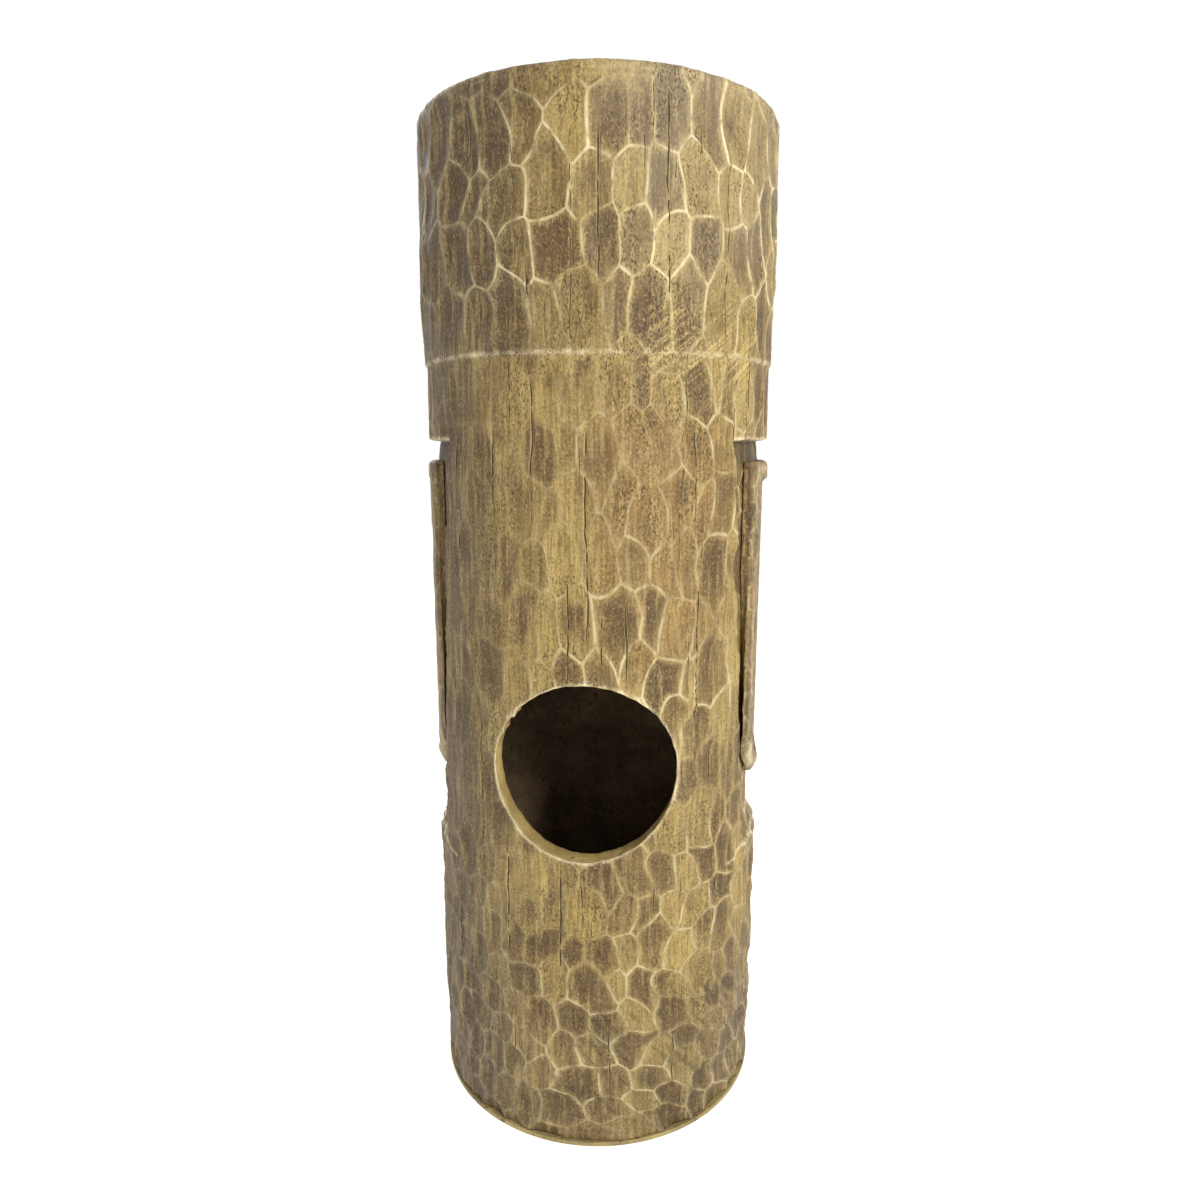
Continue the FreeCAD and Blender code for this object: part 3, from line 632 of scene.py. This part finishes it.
def shell(name, node, start, end, step, skin_of, materials, hole):
    """A half shell between two angles, closed: its outside, rim, wall inside, foot and joint faces."""
    columns = 2 * round((end - start) * BASE_R / step / 2)
    angles = np.linspace(start, end, columns + 1)
    rows = round((TOP_Z - RIM_ROUND - DISC_EDGE) / step)
    heights = np.linspace(DISC_EDGE, TOP_Z - RIM_ROUND, rows + 1)
    angle, z = np.meshgrid(angles, heights)
    middle = int(np.argmin(np.abs(heights - HOLE_Z)))
    col = np.arange(columns + 1)[None, :] - columns // 2
    row = np.arange(rows + 1)[:, None] - middle
    if hole:
        x, z, _ = around_hole(BASE_R * np.sin(angle), z, col, row)
        angle = np.arcsin(np.clip(x / BASE_R, -1, 1))
    fields = skin_of(angle, z)
    radius = outline(z) - fields.pop("depth")
    b = Builder()
    outer = b.add(*polar(angle, radius), z, fields)
    top = rim_rows(b, angles, radius[-1], {k: v[-1] for k, v in fields.items()})
    # the wall inside goes down in coarse rows, but in the outside's own rows by the hand hole
    reach = round(HOLE_REACH * HOLE_HALF)
    fine = np.arange(middle + reach, middle - reach - 1, -1) if hole else np.zeros(0, int)
    above = heights[fine[0]] if hole else DISC_EDGE
    below = heights[fine[-1]] if hole else DISC_EDGE
    falls = np.linspace(LEDGE_Z, above, round((LEDGE_Z - above) / COARSE) + 1)
    inner = [b.add(*polar(angles, cavity(angles, h)), h) for h in (falls[:-1] if hole else falls)]
    inside_fine = np.zeros((0, columns + 1), int)
    inner_low = []
    if hole:
        flat_angle, flat_z = np.meshgrid(angles, heights[fine])
        x, flat_z, out = around_hole(INNER_R * np.sin(flat_angle), flat_z, col, row[fine])
        x = x - BORE_SKEW * smooth(out, HOLE_REACH, 1.0)
        flat_angle = np.arcsin(np.clip(x / INNER_R, -1, 1))
        inside_fine = b.add(*polar(flat_angle, cavity(flat_angle, flat_z)), flat_z)
        falls = np.linspace(below, DISC_EDGE, round((below - DISC_EDGE) / COARSE) + 1)[1:]
        inner_low = [b.add(*polar(angles, cavity(angles, h)), h) for h in falls]
    loop = np.concatenate([outer, np.stack(top), np.stack(inner), inside_fine,
                           np.array(inner_low, int).reshape(-1, columns + 1), outer[:1]])
    inside_from = len(outer) + len(top) - 5
    keep = np.ones((len(loop) - 1, columns), bool)
    if hole:
        square = np.maximum(np.abs(col[:, :-1] + 0.5), np.abs(row[:-1] + 0.5)) > HOLE_HALF
        keep[:rows] = square
        first = len(outer) + len(top) + len(inner)
        keep[first:first + len(fine) - 1] = square[fine[1:]]
    b.grid(loop[:inside_from + 1], 0, keep[:inside_from])
    b.grid(loop[inside_from:], 1, keep[inside_from:])
    b.polygon(loop[:-1, 0], 1)
    b.polygon(loop[:-1, -1], 1)
    if hole:
        cut_face(b, outer, inside_fine, middle, reach, columns // 2)
    return b.make(name, node, materials)


def cut_face(b, outer, inside, middle, reach, centre):
    """The wall's thickness round the hand hole, lumpy as it left the mould."""
    h = HOLE_HALF
    run = np.arange(-h, h)
    dr = np.concatenate([run, np.full(2 * h, h), -run, np.full(2 * h, -h)])
    dc = np.concatenate([np.full(2 * h, h), -run, np.full(2 * h, -h), run])
    first, last = outer[middle + dr, centre + dc], inside[reach - dr, centre + dc]
    p, q = b.where(first), b.where(last)
    turn = np.arctan2(p[:, 2] - HOLE_Z, p[:, 0])
    rows = [first]
    for t in (0.04, 0.1, 0.2, 0.34, 0.5, 0.66, 0.82, 0.93):
        x, y, z = ((1 - t) * p + t * q).T
        wave = noise(9 * np.cos(turn), 9 * np.sin(turn), 5 * t + 0 * turn, 91)
        fine = noise(26 * np.cos(turn), 26 * np.sin(turn), 14 * t + 0 * turn, 92)
        out = (0.35 + 0.75 * wave + 0.3 * fine) * math.sin(math.pi * t) - 0.9 * smooth(t, 0.08, 0.0)
        # painted shade: the cut face darkens towards the inside of the hole; its pale outer edge is
        # dry-brushed paint
        fields = {"tone": 0.5 + 0.5 * wave, "pale": 0.8 * float(smooth(t, 0.3, 0.0)),
                  "dark": float(smooth(t, 0.5, 1.1))}
        rows.append(b.add(x + out * np.cos(turn), y, z + out * np.sin(turn), fields))
    ring = np.stack(rows + [last])
    b.grid(np.concatenate([ring, ring[:, :1]], 1), 2)


def ear(name, node, side, materials):
    """An ear lobe: rows from its round tip to its flat top, each a closed loop across it."""
    half_w = (EAR_BACK_Y - EAR_FRONT_Y) / 2
    mid_y = (EAR_BACK_Y + EAR_FRONT_Y) / 2
    turn_z = EAR_LOW_Z + half_w
    tip = np.linspace(math.radians(87), 0, 66)
    z = np.concatenate([turn_z - half_w * np.sin(tip), np.linspace(turn_z, EAR_TOP_Z, 180)[1:]])
    half = np.concatenate([half_w * np.cos(tip), np.full(179, half_w)])
    across = np.sin(np.linspace(-math.pi / 2, math.pi / 2, 110))
    b = Builder()
    y = mid_y + half[:, None] * across[None, :]
    zz = z[:, None] + 0 * y
    from_tip = np.where(zz < turn_z, half_w - np.hypot(y - mid_y, zz - turn_z), FAR_OFF)
    inside = np.minimum(np.minimum(half[:, None] * (1 - np.abs(across)), from_tip), EAR_TOP_Z - zz)
    at = np.arctan2(np.sqrt(BASE_R ** 2 - y ** 2), y)
    small = facets(at + side, zz / 24.0, 17.0, 95, 0.2)
    rough = np.abs(skin_noise(at, zz, 5, 9, 96 + side)) + 0.5 * np.abs(skin_noise(at, zz, 2.2, 4, 98 + side))
    back = smooth(y, EAR_BACK_Y - 16, EAR_BACK_Y)
    rolled = 3.2 * (1 - np.sqrt(np.clip(1 - (1 - np.clip(inside / 6.5, 0, 1)) ** 2, 0, 1)))
    dish = 4.0 * smooth(inside, 14.5, 19.5)
    depth = 0.35 + rolled + dish + 0.7 * (1.1 - np.minimum(small[0], 1.1)) + rough * (0.15 + 0.9 * back)
    depth = depth + 3.6 * smooth(from_tip, 16, 0) ** 2 * smooth(zz, turn_z, turn_z - 35)
    r = BASE_R - depth
    # painted shade along the channel round the ear's dish
    groove_shade = np.exp(-((inside - 17) / 2.5) ** 2)
    streaks = smooth(noise(y / 2.2, 0 * y + side, zz / 40, 94), 0.1, 0.5)
    fields = {"ridge": small[1], "tone": small[2], "floor": small[3], "grey": 0.35,
              "brush": 0.45 + 0 * back, "sheen_and_whitening": 0.12 + 0 * back, "warm": 0.3 * back,
              "pale": 0.5 * np.exp(-((inside - 6) / 4.0) ** 2) * (1 - back),
              "dark": np.maximum(0.65 * groove_shade, (0.1 + 0.45 * streaks) * back)}
    top_sheet = b.add(side * np.sqrt(r * r - y * y), y, zz, fields)
    # underneath, against the wall and darkened there as painted shade; its back edge stays clear of the back
    # panel
    under_y = mid_y + half[:, None] * np.linspace(1, -1, 22)[None, :]
    under_z = z[:, None] + 0 * under_y
    limit = np.sqrt(np.maximum(EAR_FOOT_R ** 2 - (panel_edge(under_z) + EAR_GAP) ** 2, 0))
    under_y = np.minimum(under_y, limit)
    under_x = np.sqrt(EAR_FOOT_R ** 2 - under_y ** 2)
    under = b.add(side * under_x, under_y, under_z, {"dark": 0.8})
    ends = []
    for edge, foot in ((-1, 0), (0, -1)):
        strip = []
        for t in (0.2, 0.45, 0.7, 0.88):
            x0 = np.sqrt(r[:, edge] ** 2 - y[:, edge] ** 2)
            lump = 0.9 * noise(z / 4, 0 * z + 7 * t, 0 * z + edge + side, 99) * math.sin(math.pi * t)
            outward = (1 if foot == 0 else -1) * (half > 8)
            ny = (1 - t) * y[:, edge] + t * under_y[:, foot] - (0.5 + lump) * outward
            nx = (1 - t) * x0 + t * under_x[:, foot]
            crumbs = smooth(noise(z / 3.5, 0 * z + 9 * t, 0 * z + side, 93), -0.1, 0.5)
            strip.append(b.add(side * nx, ny, z, {"dark": 0.05 + 0.45 * crumbs, "warm": 0.3,
                                                  "tone": 0.5 + 0.5 * lump, "grey": 0.2, "brush": 0.1}))
        ends.append(np.stack(strip if foot == 0 else strip[::-1], 1))
    loop = np.concatenate([top_sheet, ends[0], under, ends[1], top_sheet[:, :1]], 1)
    b.grid(loop, 0)
    b.polygon(loop[0, :-1])
    b.polygon(loop[-1, :-1])
    return b.make(name, node, materials)


def turned(name, node, profile, columns, relief, materials):
    """A round piece of a profile of (radius, height, slot number, relief share) from the top's middle to
    the underside's, with relief(angle, radius) pressed into its upper face."""
    b = Builder()
    angles = np.linspace(0, 2 * math.pi, columns, endpoint=False)
    rows = []
    for radius, height, _, share in profile:
        depth, fields = relief(angles, radius)
        rows.append(b.add(*polar(angles, radius), height - share * depth, fields if share else None))
    ring = np.stack(rows)
    ring = np.concatenate([ring, ring[:, :1]], 1)
    for k in range(len(rows) - 1):
        b.grid(ring[k:k + 2], profile[k + 1][2])
    b.polygon(rows[0], profile[0][2])
    b.polygon(rows[-1], profile[-1][2])
    return b.make(name, node, materials)


CHECKS = (   # angle in degrees, outer and inner end
    (12, 128, 4), (58, 92, 8), (97, 140, 3), (139, 84, 12), (171, 120, 20),
    (214, 138, 6), (251, 96, 14), (288, 132, 5), (327, 110, 26),
)


def end_grain(angle, radius):
    """The lid's face, cast from a sawn log: growth rings, drying checks and saw marks."""
    x, y = polar(angle, radius)
    sway = 5 * noise(x / 45, y / 45, 0 * x, 101) + 1.2 * noise(x / 12, y / 12, 0 * x, 102)
    ring = (radius + sway) / 6.3
    rings = 0.5 + 0.5 * np.sin(2 * math.pi * ring)
    crack, opened = np.full(angle.shape, FAR_OFF), np.zeros(angle.shape)
    for k, (degrees, reach, low) in enumerate(CHECKS):
        bend = 0.05 * noise(0 * x + radius / 16, 0 * x + k, 0 * x, 103)
        away = ((angle - math.radians(degrees) - bend + math.pi) % (2 * math.pi) - math.pi) * radius
        wide = smooth(radius, low, low + 18) * smooth(radius, reach, reach - 30)
        wide = wide * smooth(np.abs(away), 4.5, 2.5)
        closer = np.abs(away) < np.abs(crack)
        opened = np.where(closer, wide, opened)
        crack = np.where(closer, away, crack)
    saw = noise((x * 0.8 + y * 0.6) / 1.6, (y * 0.8 - x * 0.6) / 60, 0 * x, 104)
    edge = smooth(radius, CAP_SEAT_R - 9, CAP_SEAT_R - 1)
    depth = 0.2 + 0.9 * rings ** 2 + 0.35 * np.abs(saw) + 1.8 * opened * smooth(np.abs(crack), 1.3, 0.3)
    depth = depth + 1.6 * edge ** 2
    fields = {"tone": 0.3 + 0.5 * rings, "floor": 0.8 * rings, "crack": crack, "opened": opened,
              "pale": 0.35 * (1 - rings) + 0.3 * edge, "ridge": 3.0 + 0 * x, "grey": 0.4 + 0 * x}
    return depth, fields


# ------------------------------------------------------------------ materials

SPAN_ENDS = ("From Min", "From Max", "To Min", "To Max")


def linear(r, g, b):
    """A colour given as 0-255 display values, for a shader socket."""
    shares = (c / 255 for c in (r, g, b))
    return tuple(((c + 0.055) / 1.055) ** 2.4 if c > 0.04 else c / 12.92 for c in shares) + (1.0,)


class Paint:
    """A node material built step by step; sockets go in and out of its calls."""

    def __init__(self, name, roughness):
        self.material = bpy.data.materials.new(name)
        self.material.use_nodes = True
        self.tree = self.material.node_tree
        self.bsdf = self.tree.nodes["Principled BSDF"]
        self.bsdf.inputs["Roughness"].default_value = roughness
        self.place = self.tree.nodes.new("ShaderNodeTexCoord").outputs["Object"]

    def feed(self, socket, value):
        if isinstance(value, bpy.types.NodeSocket):
            self.tree.links.new(value, socket)
        else:
            socket.default_value = value

    def noise(self, scale, stretch=(1, 1, 1), detail=3.0, rough=0.55):
        """Noise from 0 to 1; scale is in waves per metre, and stretch divides it along each axis."""
        mapping = self.tree.nodes.new("ShaderNodeMapping")
        self.feed(mapping.inputs["Vector"], self.place)
        mapping.inputs["Scale"].default_value = [scale / s for s in stretch]
        made = self.tree.nodes.new("ShaderNodeTexNoise")
        self.feed(made.inputs["Vector"], mapping.outputs["Vector"])
        made.inputs["Scale"].default_value = 1.0
        made.inputs["Detail"].default_value = detail
        made.inputs["Roughness"].default_value = rough
        return made.outputs["Fac"]

    def field(self, name):
        made = self.tree.nodes.new("ShaderNodeAttribute")
        made.attribute_name = name
        return made.outputs["Fac"]

    def curve(self, value, low, high, to_low=0.0, to_high=1.0):
        """value's span from low to high, smoothly onto the other span."""
        made = self.tree.nodes.new("ShaderNodeMapRange")
        made.interpolation_type = "SMOOTHSTEP"
        self.feed(made.inputs["Value"], value)
        for socket, number in zip(SPAN_ENDS, (low, high, to_low, to_high)):
            made.inputs[socket].default_value = number
        return made.outputs["Result"]

    def math(self, kind, a, b):
        made = self.tree.nodes.new("ShaderNodeMath")
        made.operation = kind
        self.feed(made.inputs[0], a)
        self.feed(made.inputs[1], b)
        return made.outputs[0]

    def times(self, a, b):
        return self.math("MULTIPLY", a, b)

    def mix(self, share, a, b):
        made = self.tree.nodes.new("ShaderNodeMix")
        made.data_type = "RGBA"
        self.feed(made.inputs[0], share)
        self.feed(made.inputs[6], a)
        self.feed(made.inputs[7], b)
        return made.outputs[2]

    def bump(self, height, distance, strength=1.0, under=None):
        made = self.tree.nodes.new("ShaderNodeBump")
        made.inputs["Strength"].default_value = strength
        made.inputs["Distance"].default_value = distance
        self.feed(made.inputs["Height"], height)
        if under is not None:
            self.feed(made.inputs["Normal"], under)
        return made.outputs["Normal"]

    def finish(self, colour, roughness, normal):
        self.feed(self.bsdf.inputs["Base Color"], colour)
        self.feed(self.bsdf.inputs["Roughness"], roughness)
        self.feed(self.bsdf.inputs["Normal"], normal)
        return self.material


def cast_wood(name, base, shade, stain, cream):
    """The castings' finish: brown stain washed into the strokes, and cream dry-brushed on the ridges."""
    p = Paint(name, 0.6)
    p.bsdf.inputs["Specular IOR Level"].default_value = 0.38
    wide = p.noise(11, (1, 1, 1.6), 3)
    blotch = p.noise(38, (1, 1, 1.8), 4, 0.6)
    grain = p.noise(440, (1, 1, 20), 3, 0.6)
    streak = p.noise(180, (1, 1, 12), 3, 0.65)
    grit = p.noise(560, (1, 1, 1.3), 4, 0.75)
    weave = p.noise(150, (9, 9, 1), 2, 0.5)
    floor, ridge, brush = p.field("floor"), p.field("ridge"), p.field("brush")
    # the ground colour, by stroke and by patch
    well_in = p.curve(ridge, 0.3, 5.5)
    tone = p.math("ADD", 0.5, p.times(p.math("SUBTRACT", p.field("tone"), 0.5), well_in))
    light = p.math("ADD", p.times(tone, 0.8), p.times(wide, 0.35))
    colour = p.mix(p.curve(light, 0.22, 0.9), shade, base)
    # darker and greyer where the grey field is set, much of it painted shade on the +X side
    colour = p.mix(p.times(p.field("grey"), 0.85), colour, linear(78, 62, 46))
    warm = p.times(p.field("warm"), p.curve(tone, 0.2, 0.65))
    colour = p.mix(p.times(warm, 0.6), colour, linear(118, 84, 42))
    # stain lying in the strokes with painted shade towards their upper ends, and the grain showing through
    # it
    washed = p.math("ADD", blotch, p.times(p.math("SUBTRACT", 0.5, p.field("tone")), 0.22))
    pooled_stain_and_shade = p.times(p.curve(floor, 0.05, 0.75), p.curve(washed, 0.36, 0.58))
    colour = p.mix(p.times(pooled_stain_and_shade, 0.88), colour, stain)
    colour = p.mix(p.curve(grain, 0.42, 0.64, 0.0, 0.46), colour, stain)
    colour = p.mix(p.curve(streak, 0.46, 0.70, 0.0, 0.34), colour, cream)
    colour = p.mix(p.curve(weave, 0.5, 0.75, 0.0, 0.08), colour, cream)
    colour = p.mix(p.curve(grit, 0.49, 0.36, 0.0, 0.60), colour, stain)
    colour = p.mix(p.curve(grit, 0.53, 0.66, 0.0, 0.36), colour, cream)
    # dry brushing: a broad haze over the ridges and a thin bright thread on them, both grainy
    speckle = p.math("ADD", p.times(grit, 0.65), p.times(streak, 0.5))
    grainy = p.curve(speckle, 0.42, 0.68, 0.25, 1.0)
    broken = p.times(p.curve(p.noise(120, (1, 1, 1.5), 3, 0.6), 0.35, 0.6, 0.35, 1.0), grainy)
    haze = p.times(p.times(p.curve(ridge, 5.5, 0.0), broken), brush)
    colour = p.mix(p.times(haze, 0.5), colour, cream)
    kept = p.curve(p.noise(50, (1, 1, 1), 3, 0.65), 0.38, 0.6, 0.1, 1.0)
    frayed = p.math("ADD", ridge, p.times(p.math("SUBTRACT", grit, 0.5), 1.6))
    thread = p.times(p.curve(frayed, 1.4, 0.35), kept)
    thread = p.times(thread, p.curve(brush, 0.1, 1.1))
    colour = p.mix(p.times(thread, 0.82), colour, linear(214, 200, 158))
    colour = p.mix(p.times(p.field("pale"), broken), colour, linear(220, 204, 164))
    rasped = p.times(p.field("scratch"), p.curve(grit, 0.40, 0.56, 0.25, 0.85))
    colour = p.mix(rasped, colour, cream)
    # painted sheen on the crown, and a slight whitening of the ears
    colour = p.mix(p.times(p.field("sheen_and_whitening"), 0.15), colour, linear(190, 180, 156))
    # dark pores in loose groups, dirt mixed with painted shade, and cracks
    group = p.curve(p.noise(30, (1, 1, 2.0), 3, 0.6), 0.46, 0.60)
    pores = p.curve(p.noise(800, (1, 1, 2.2), 1.0, 0.5), 0.57, 0.64)
    pore = p.times(p.times(pores, group), p.curve(ridge, 0.4, 2.0))
    colour = p.mix(p.times(pore, 0.8), colour, linear(62, 44, 22))
    # the dark field: dirt, dark tool cuts and streaks, with painted shade in the recess, the face's deep
    # hollows and under and round the ears
    shade_and_grime = p.times(p.field("dark"), p.curve(blotch, 0.2, 0.6, 0.6, 1.0))
    colour = p.mix(p.times(shade_and_grime, 0.82), colour, linear(46, 35, 21))
    # cracks: near-black painted shade in their opening and a painted highlight on their lit edge
    from_crack = p.math("ABSOLUTE", p.field("crack"), 0.0)
    line = p.math("SUBTRACT", from_crack, p.times(p.field("opened"), 0.62))
    crack_shade = p.times(p.curve(line, 0.18, -0.12), p.curve(p.field("opened"), 0.1, 0.35))
    lit_side = p.times(p.curve(line, 1.3, 0.3), p.times(p.field("opened"), 0.3))
    colour = p.mix(lit_side, colour, cream)
    colour = p.mix(p.times(crack_shade, 0.95), colour, linear(34, 23, 11))
    # the surface in its smallest scale, and its worn sheen
    height = p.math("ADD", p.times(grain, 0.5), p.times(grit, 0.55))
    normal = p.bump(height, 0.0010, 0.6)
    normal = p.bump(p.math("SUBTRACT", streak, p.math("ADD", pore, crack_shade)), 0.0011, 0.6, normal)
    rough = p.curve(p.math("ADD", haze, p.times(blotch, 0.5)), 0.1, 1.1, 0.62, 0.42)
    return p.finish(colour, rough, normal)


def raw_cast(name, light, dark, shade_share):
    """Bare cast concrete, as inside the shells: grit, blow holes, fibres and damp marks."""
    p = Paint(name, 0.85)
    patch = p.noise(22, (1, 1, 1), 5, 0.6)
    grit = p.noise(480, (1, 1, 1), 4, 0.7)
    fibre = p.noise(230, (7, 1, 1.6), 2, 0.5)
    holes = p.curve(p.noise(210, (1, 1, 1), 1.0, 0.4), 0.66, 0.72)
    colour = p.mix(p.curve(patch, 0.3, 0.7), dark, light)
    colour = p.mix(p.curve(grit, 0.35, 0.7, 0.0, 0.5), colour, light)
    colour = p.mix(p.curve(fibre, 0.6, 0.7, 0.0, 0.4), colour, light)
    # painted shade from the dark field, which only the hand hole's cut face sets, darker towards the inside
    colour = p.mix(p.times(p.field("dark"), shade_share), colour, dark)
    colour = p.mix(p.times(p.field("pale"), 0.7), colour, linear(222, 206, 166))
    colour = p.mix(p.times(holes, 0.9), colour, dark)
    normal = p.bump(p.math("SUBTRACT", grit, p.times(holes, 1.5)), 0.0012, 0.7)
    normal = p.bump(fibre, 0.0008, 0.5, normal)
    return p.finish(colour, p.curve(patch, 0.3, 0.7, 0.92, 0.72), normal)


def steel(name, colour, spots, roughness):
    """Zinc-plated steel with a spangle, fine scratches and spots of white bloom."""
    p = Paint(name, roughness)
    p.bsdf.inputs["Metallic"].default_value = 1.0
    scratch = p.noise(2600, (1, 1, 9), 3, 0.6)
    bloom = p.noise(420, (1, 1, 1), 4, 0.7)
    spangle = p.tree.nodes.new("ShaderNodeTexVoronoi")
    p.feed(spangle.inputs["Vector"], p.place)
    spangle.inputs["Scale"].default_value = 900
    tint = p.mix(p.curve(spangle.outputs["Distance"], 0.1, 0.7), colour, linear(150, 154, 158))
    tint = p.mix(p.curve(bloom, 0.55, 0.7, 0.0, 0.7), tint, spots)
    normal = p.bump(scratch, 0.00015, 0.6)
    return p.finish(tint, p.curve(bloom, 0.35, 0.7, roughness - 0.1, roughness + 0.25), normal)


def dress(node, material):
    """Gives a CAD node that stays in view its material, and its slot's name."""
    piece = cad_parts[node]
    piece.data.materials.clear()
    piece.data.materials.append(material)


olive = linear(156, 133, 74)
shade = linear(98, 77, 40)
stain = linear(72, 50, 22)
cream = linear(188, 166, 107)
rear_finish = cast_wood("rear_cast", olive, shade, stain, cream)
face_finish = cast_wood("face_cast", linear(154, 131, 76), shade, stain, cream)
ear_finish = cast_wood("ear_cast", linear(142, 117, 66), linear(100, 78, 40), stain, cream)
cap_finish = cast_wood("cap_cast", linear(154, 131, 76), shade, stain, cream)
base_finish = raw_cast("base_cast", linear(166, 148, 98), linear(104, 86, 50), 0.6)
inside_finish = raw_cast("inside_cast", linear(140, 116, 84), linear(84, 66, 46), 0.5)
cut_finish = raw_cast("cut_cast", linear(190, 166, 102), linear(140, 116, 64), 0.8)
strip_finish = raw_cast("seam_strip", linear(96, 86, 68), linear(52, 44, 33), 0.5)
dowel_finish = steel("dowel_steel", linear(126, 128, 132), linear(172, 172, 166), 0.42)
screw_finish = steel("screw_steel", linear(168, 164, 150), linear(196, 190, 172), 0.34)

# ------------------------------------------------------------------ the object

quarter = math.pi / 2
castings = (inside_finish, cut_finish)
shell("rear_casting", "rear_shell", -quarter, quarter, STEP, rear_skin,
      (rear_finish, *castings), True)
shell("face_casting", "face_shell", quarter, 3 * quarter, FACE_STEP, face_skin,
      (face_finish, *castings), False)
ear("left_ear_lobe", "left_ear", 1, (ear_finish,))
ear("right_ear_lobe", "right_ear", -1, (ear_finish,))

lid = [(r, CAP_TOP_Z, 0, 1.0) for r in np.linspace(1.0, CAP_SEAT_R - 1.2, 118)]
lid += [(CAP_SEAT_R - 0.5, CAP_TOP_Z - 2.6, 0, 0.0), (CAP_SEAT_R - 0.4, CAP_TOP_Z - 8, 0, 0.0),
        (CAP_SEAT_R - 0.4, LEDGE_Z + 0.8, 0, 0.0), (CAP_SEAT_R - 1.2, LEDGE_Z, 0, 0.0)]
lid += [(r, LEDGE_Z, 1, 0.0) for r in (120, 80, 40, 4)]
turned("lid", "crown_cap", lid, 400, end_grain, (cap_finish, inside_finish))

dress("base_disc", base_finish)
dress("left_seam_strip", strip_finish)
dress("right_seam_strip", strip_finish)
dress("ear_dowels", dowel_finish)
dress("base_screws", screw_finish)

# ------------------------------------------------------------------ the studio

floor_mesh = bpy.data.meshes.new("studio_floor")
floor_mesh.from_pydata([(-20, -20, 0), (20, -20, 0), (20, 20, 0), (-20, 20, 0)], [], [(0, 1, 2, 3)])
floor_piece = bpy.data.objects.new("studio_floor", floor_mesh)
bpy.context.scene.collection.objects.link(floor_piece)
floor_paint = Paint("studio_floor", 0.9)
floor_paint.bsdf.inputs["Emission Color"].default_value = (1.0, 1.0, 1.0, 1.0)
floor_paint.bsdf.inputs["Emission Strength"].default_value = 0.48
floor_grain = floor_paint.bump(floor_paint.noise(30), 0.001, 0.05)
floor_piece.data.materials.append(floor_paint.finish(linear(232, 231, 228), 0.9, floor_grain))


def soft_light(name, place, target, size, power, colour=(1, 1, 1)):
    """A square soft box facing a point."""
    lamp = bpy.data.lights.new(name, "AREA")
    lamp.shape = "SQUARE"
    lamp.size = size
    lamp.energy = power
    lamp.color = colour
    holder = bpy.data.objects.new(name, lamp)
    holder.location = place
    holder.rotation_euler = (Vector(target) - Vector(place)).to_track_quat("-Z", "Y").to_euler()
    bpy.context.scene.collection.objects.link(holder)


middle = (0, 0, (cad_low.z + cad_high.z) / 2)
soft_light("key", (-1.35, 1.75, 1.45), middle, 0.75, 48, (1.0, 0.99, 0.97))
soft_light("fill", (1.9, 1.5, 0.9), middle, 1.6, 2, (1.0, 0.97, 0.93))
soft_light("front_key", (1.3, -1.8, 2.0), middle, 1.2, 30)
# a white backdrop all round, dimmer towards the ceiling on the photographer's side
world = bpy.data.worlds.new("studio")
world.use_nodes = True
nodes, links = world.node_tree.nodes, world.node_tree.links
split = nodes.new("ShaderNodeSeparateXYZ")
links.new(nodes.new("ShaderNodeTexCoord").outputs["Generated"], split.inputs[0])


def ramp(value, low, high, to_low, to_high):
    """value's span from low to high, smoothly onto the other span, in the world's nodes."""
    made = nodes.new("ShaderNodeMapRange")
    made.interpolation_type = "SMOOTHSTEP"
    links.new(value, made.inputs["Value"])
    for socket, number in zip(SPAN_ENDS, (low, high, to_low, to_high)):
        made.inputs[socket].default_value = number
    return made.outputs["Result"]


dim = nodes.new("ShaderNodeMath")
dim.operation = "MULTIPLY_ADD"
links.new(ramp(split.outputs["Y"], -0.45, 0.3, 0.0, -0.77), dim.inputs[0])
links.new(ramp(split.outputs["Z"], 0.26, 0.8, 0.15, 1.0), dim.inputs[1])
dim.inputs[2].default_value = 1.02
nodes["Background"].inputs["Color"].default_value = (1.0, 1.0, 1.0, 1.0)
links.new(dim.outputs[0], nodes["Background"].inputs["Strength"])
bpy.context.scene.world = world
bpy.context.scene.view_settings.view_transform = "Standard"

# The photograph's viewpoint: behind the column, a little to its left, looking slightly down
camera_data = bpy.data.cameras.new("camera")
camera_data.sensor_width = 36.0
camera_data.lens = 25.544
camera_data.shift_x = 0.0016
camera = bpy.data.objects.new("camera", camera_data)
camera.location = (-0.0634, 0.8242, 0.6311)
camera.rotation_euler = (math.radians(90 - 10.68), 0, math.radians(180 + 4.4))
bpy.context.scene.collection.objects.link(camera)
bpy.context.scene.camera = camera
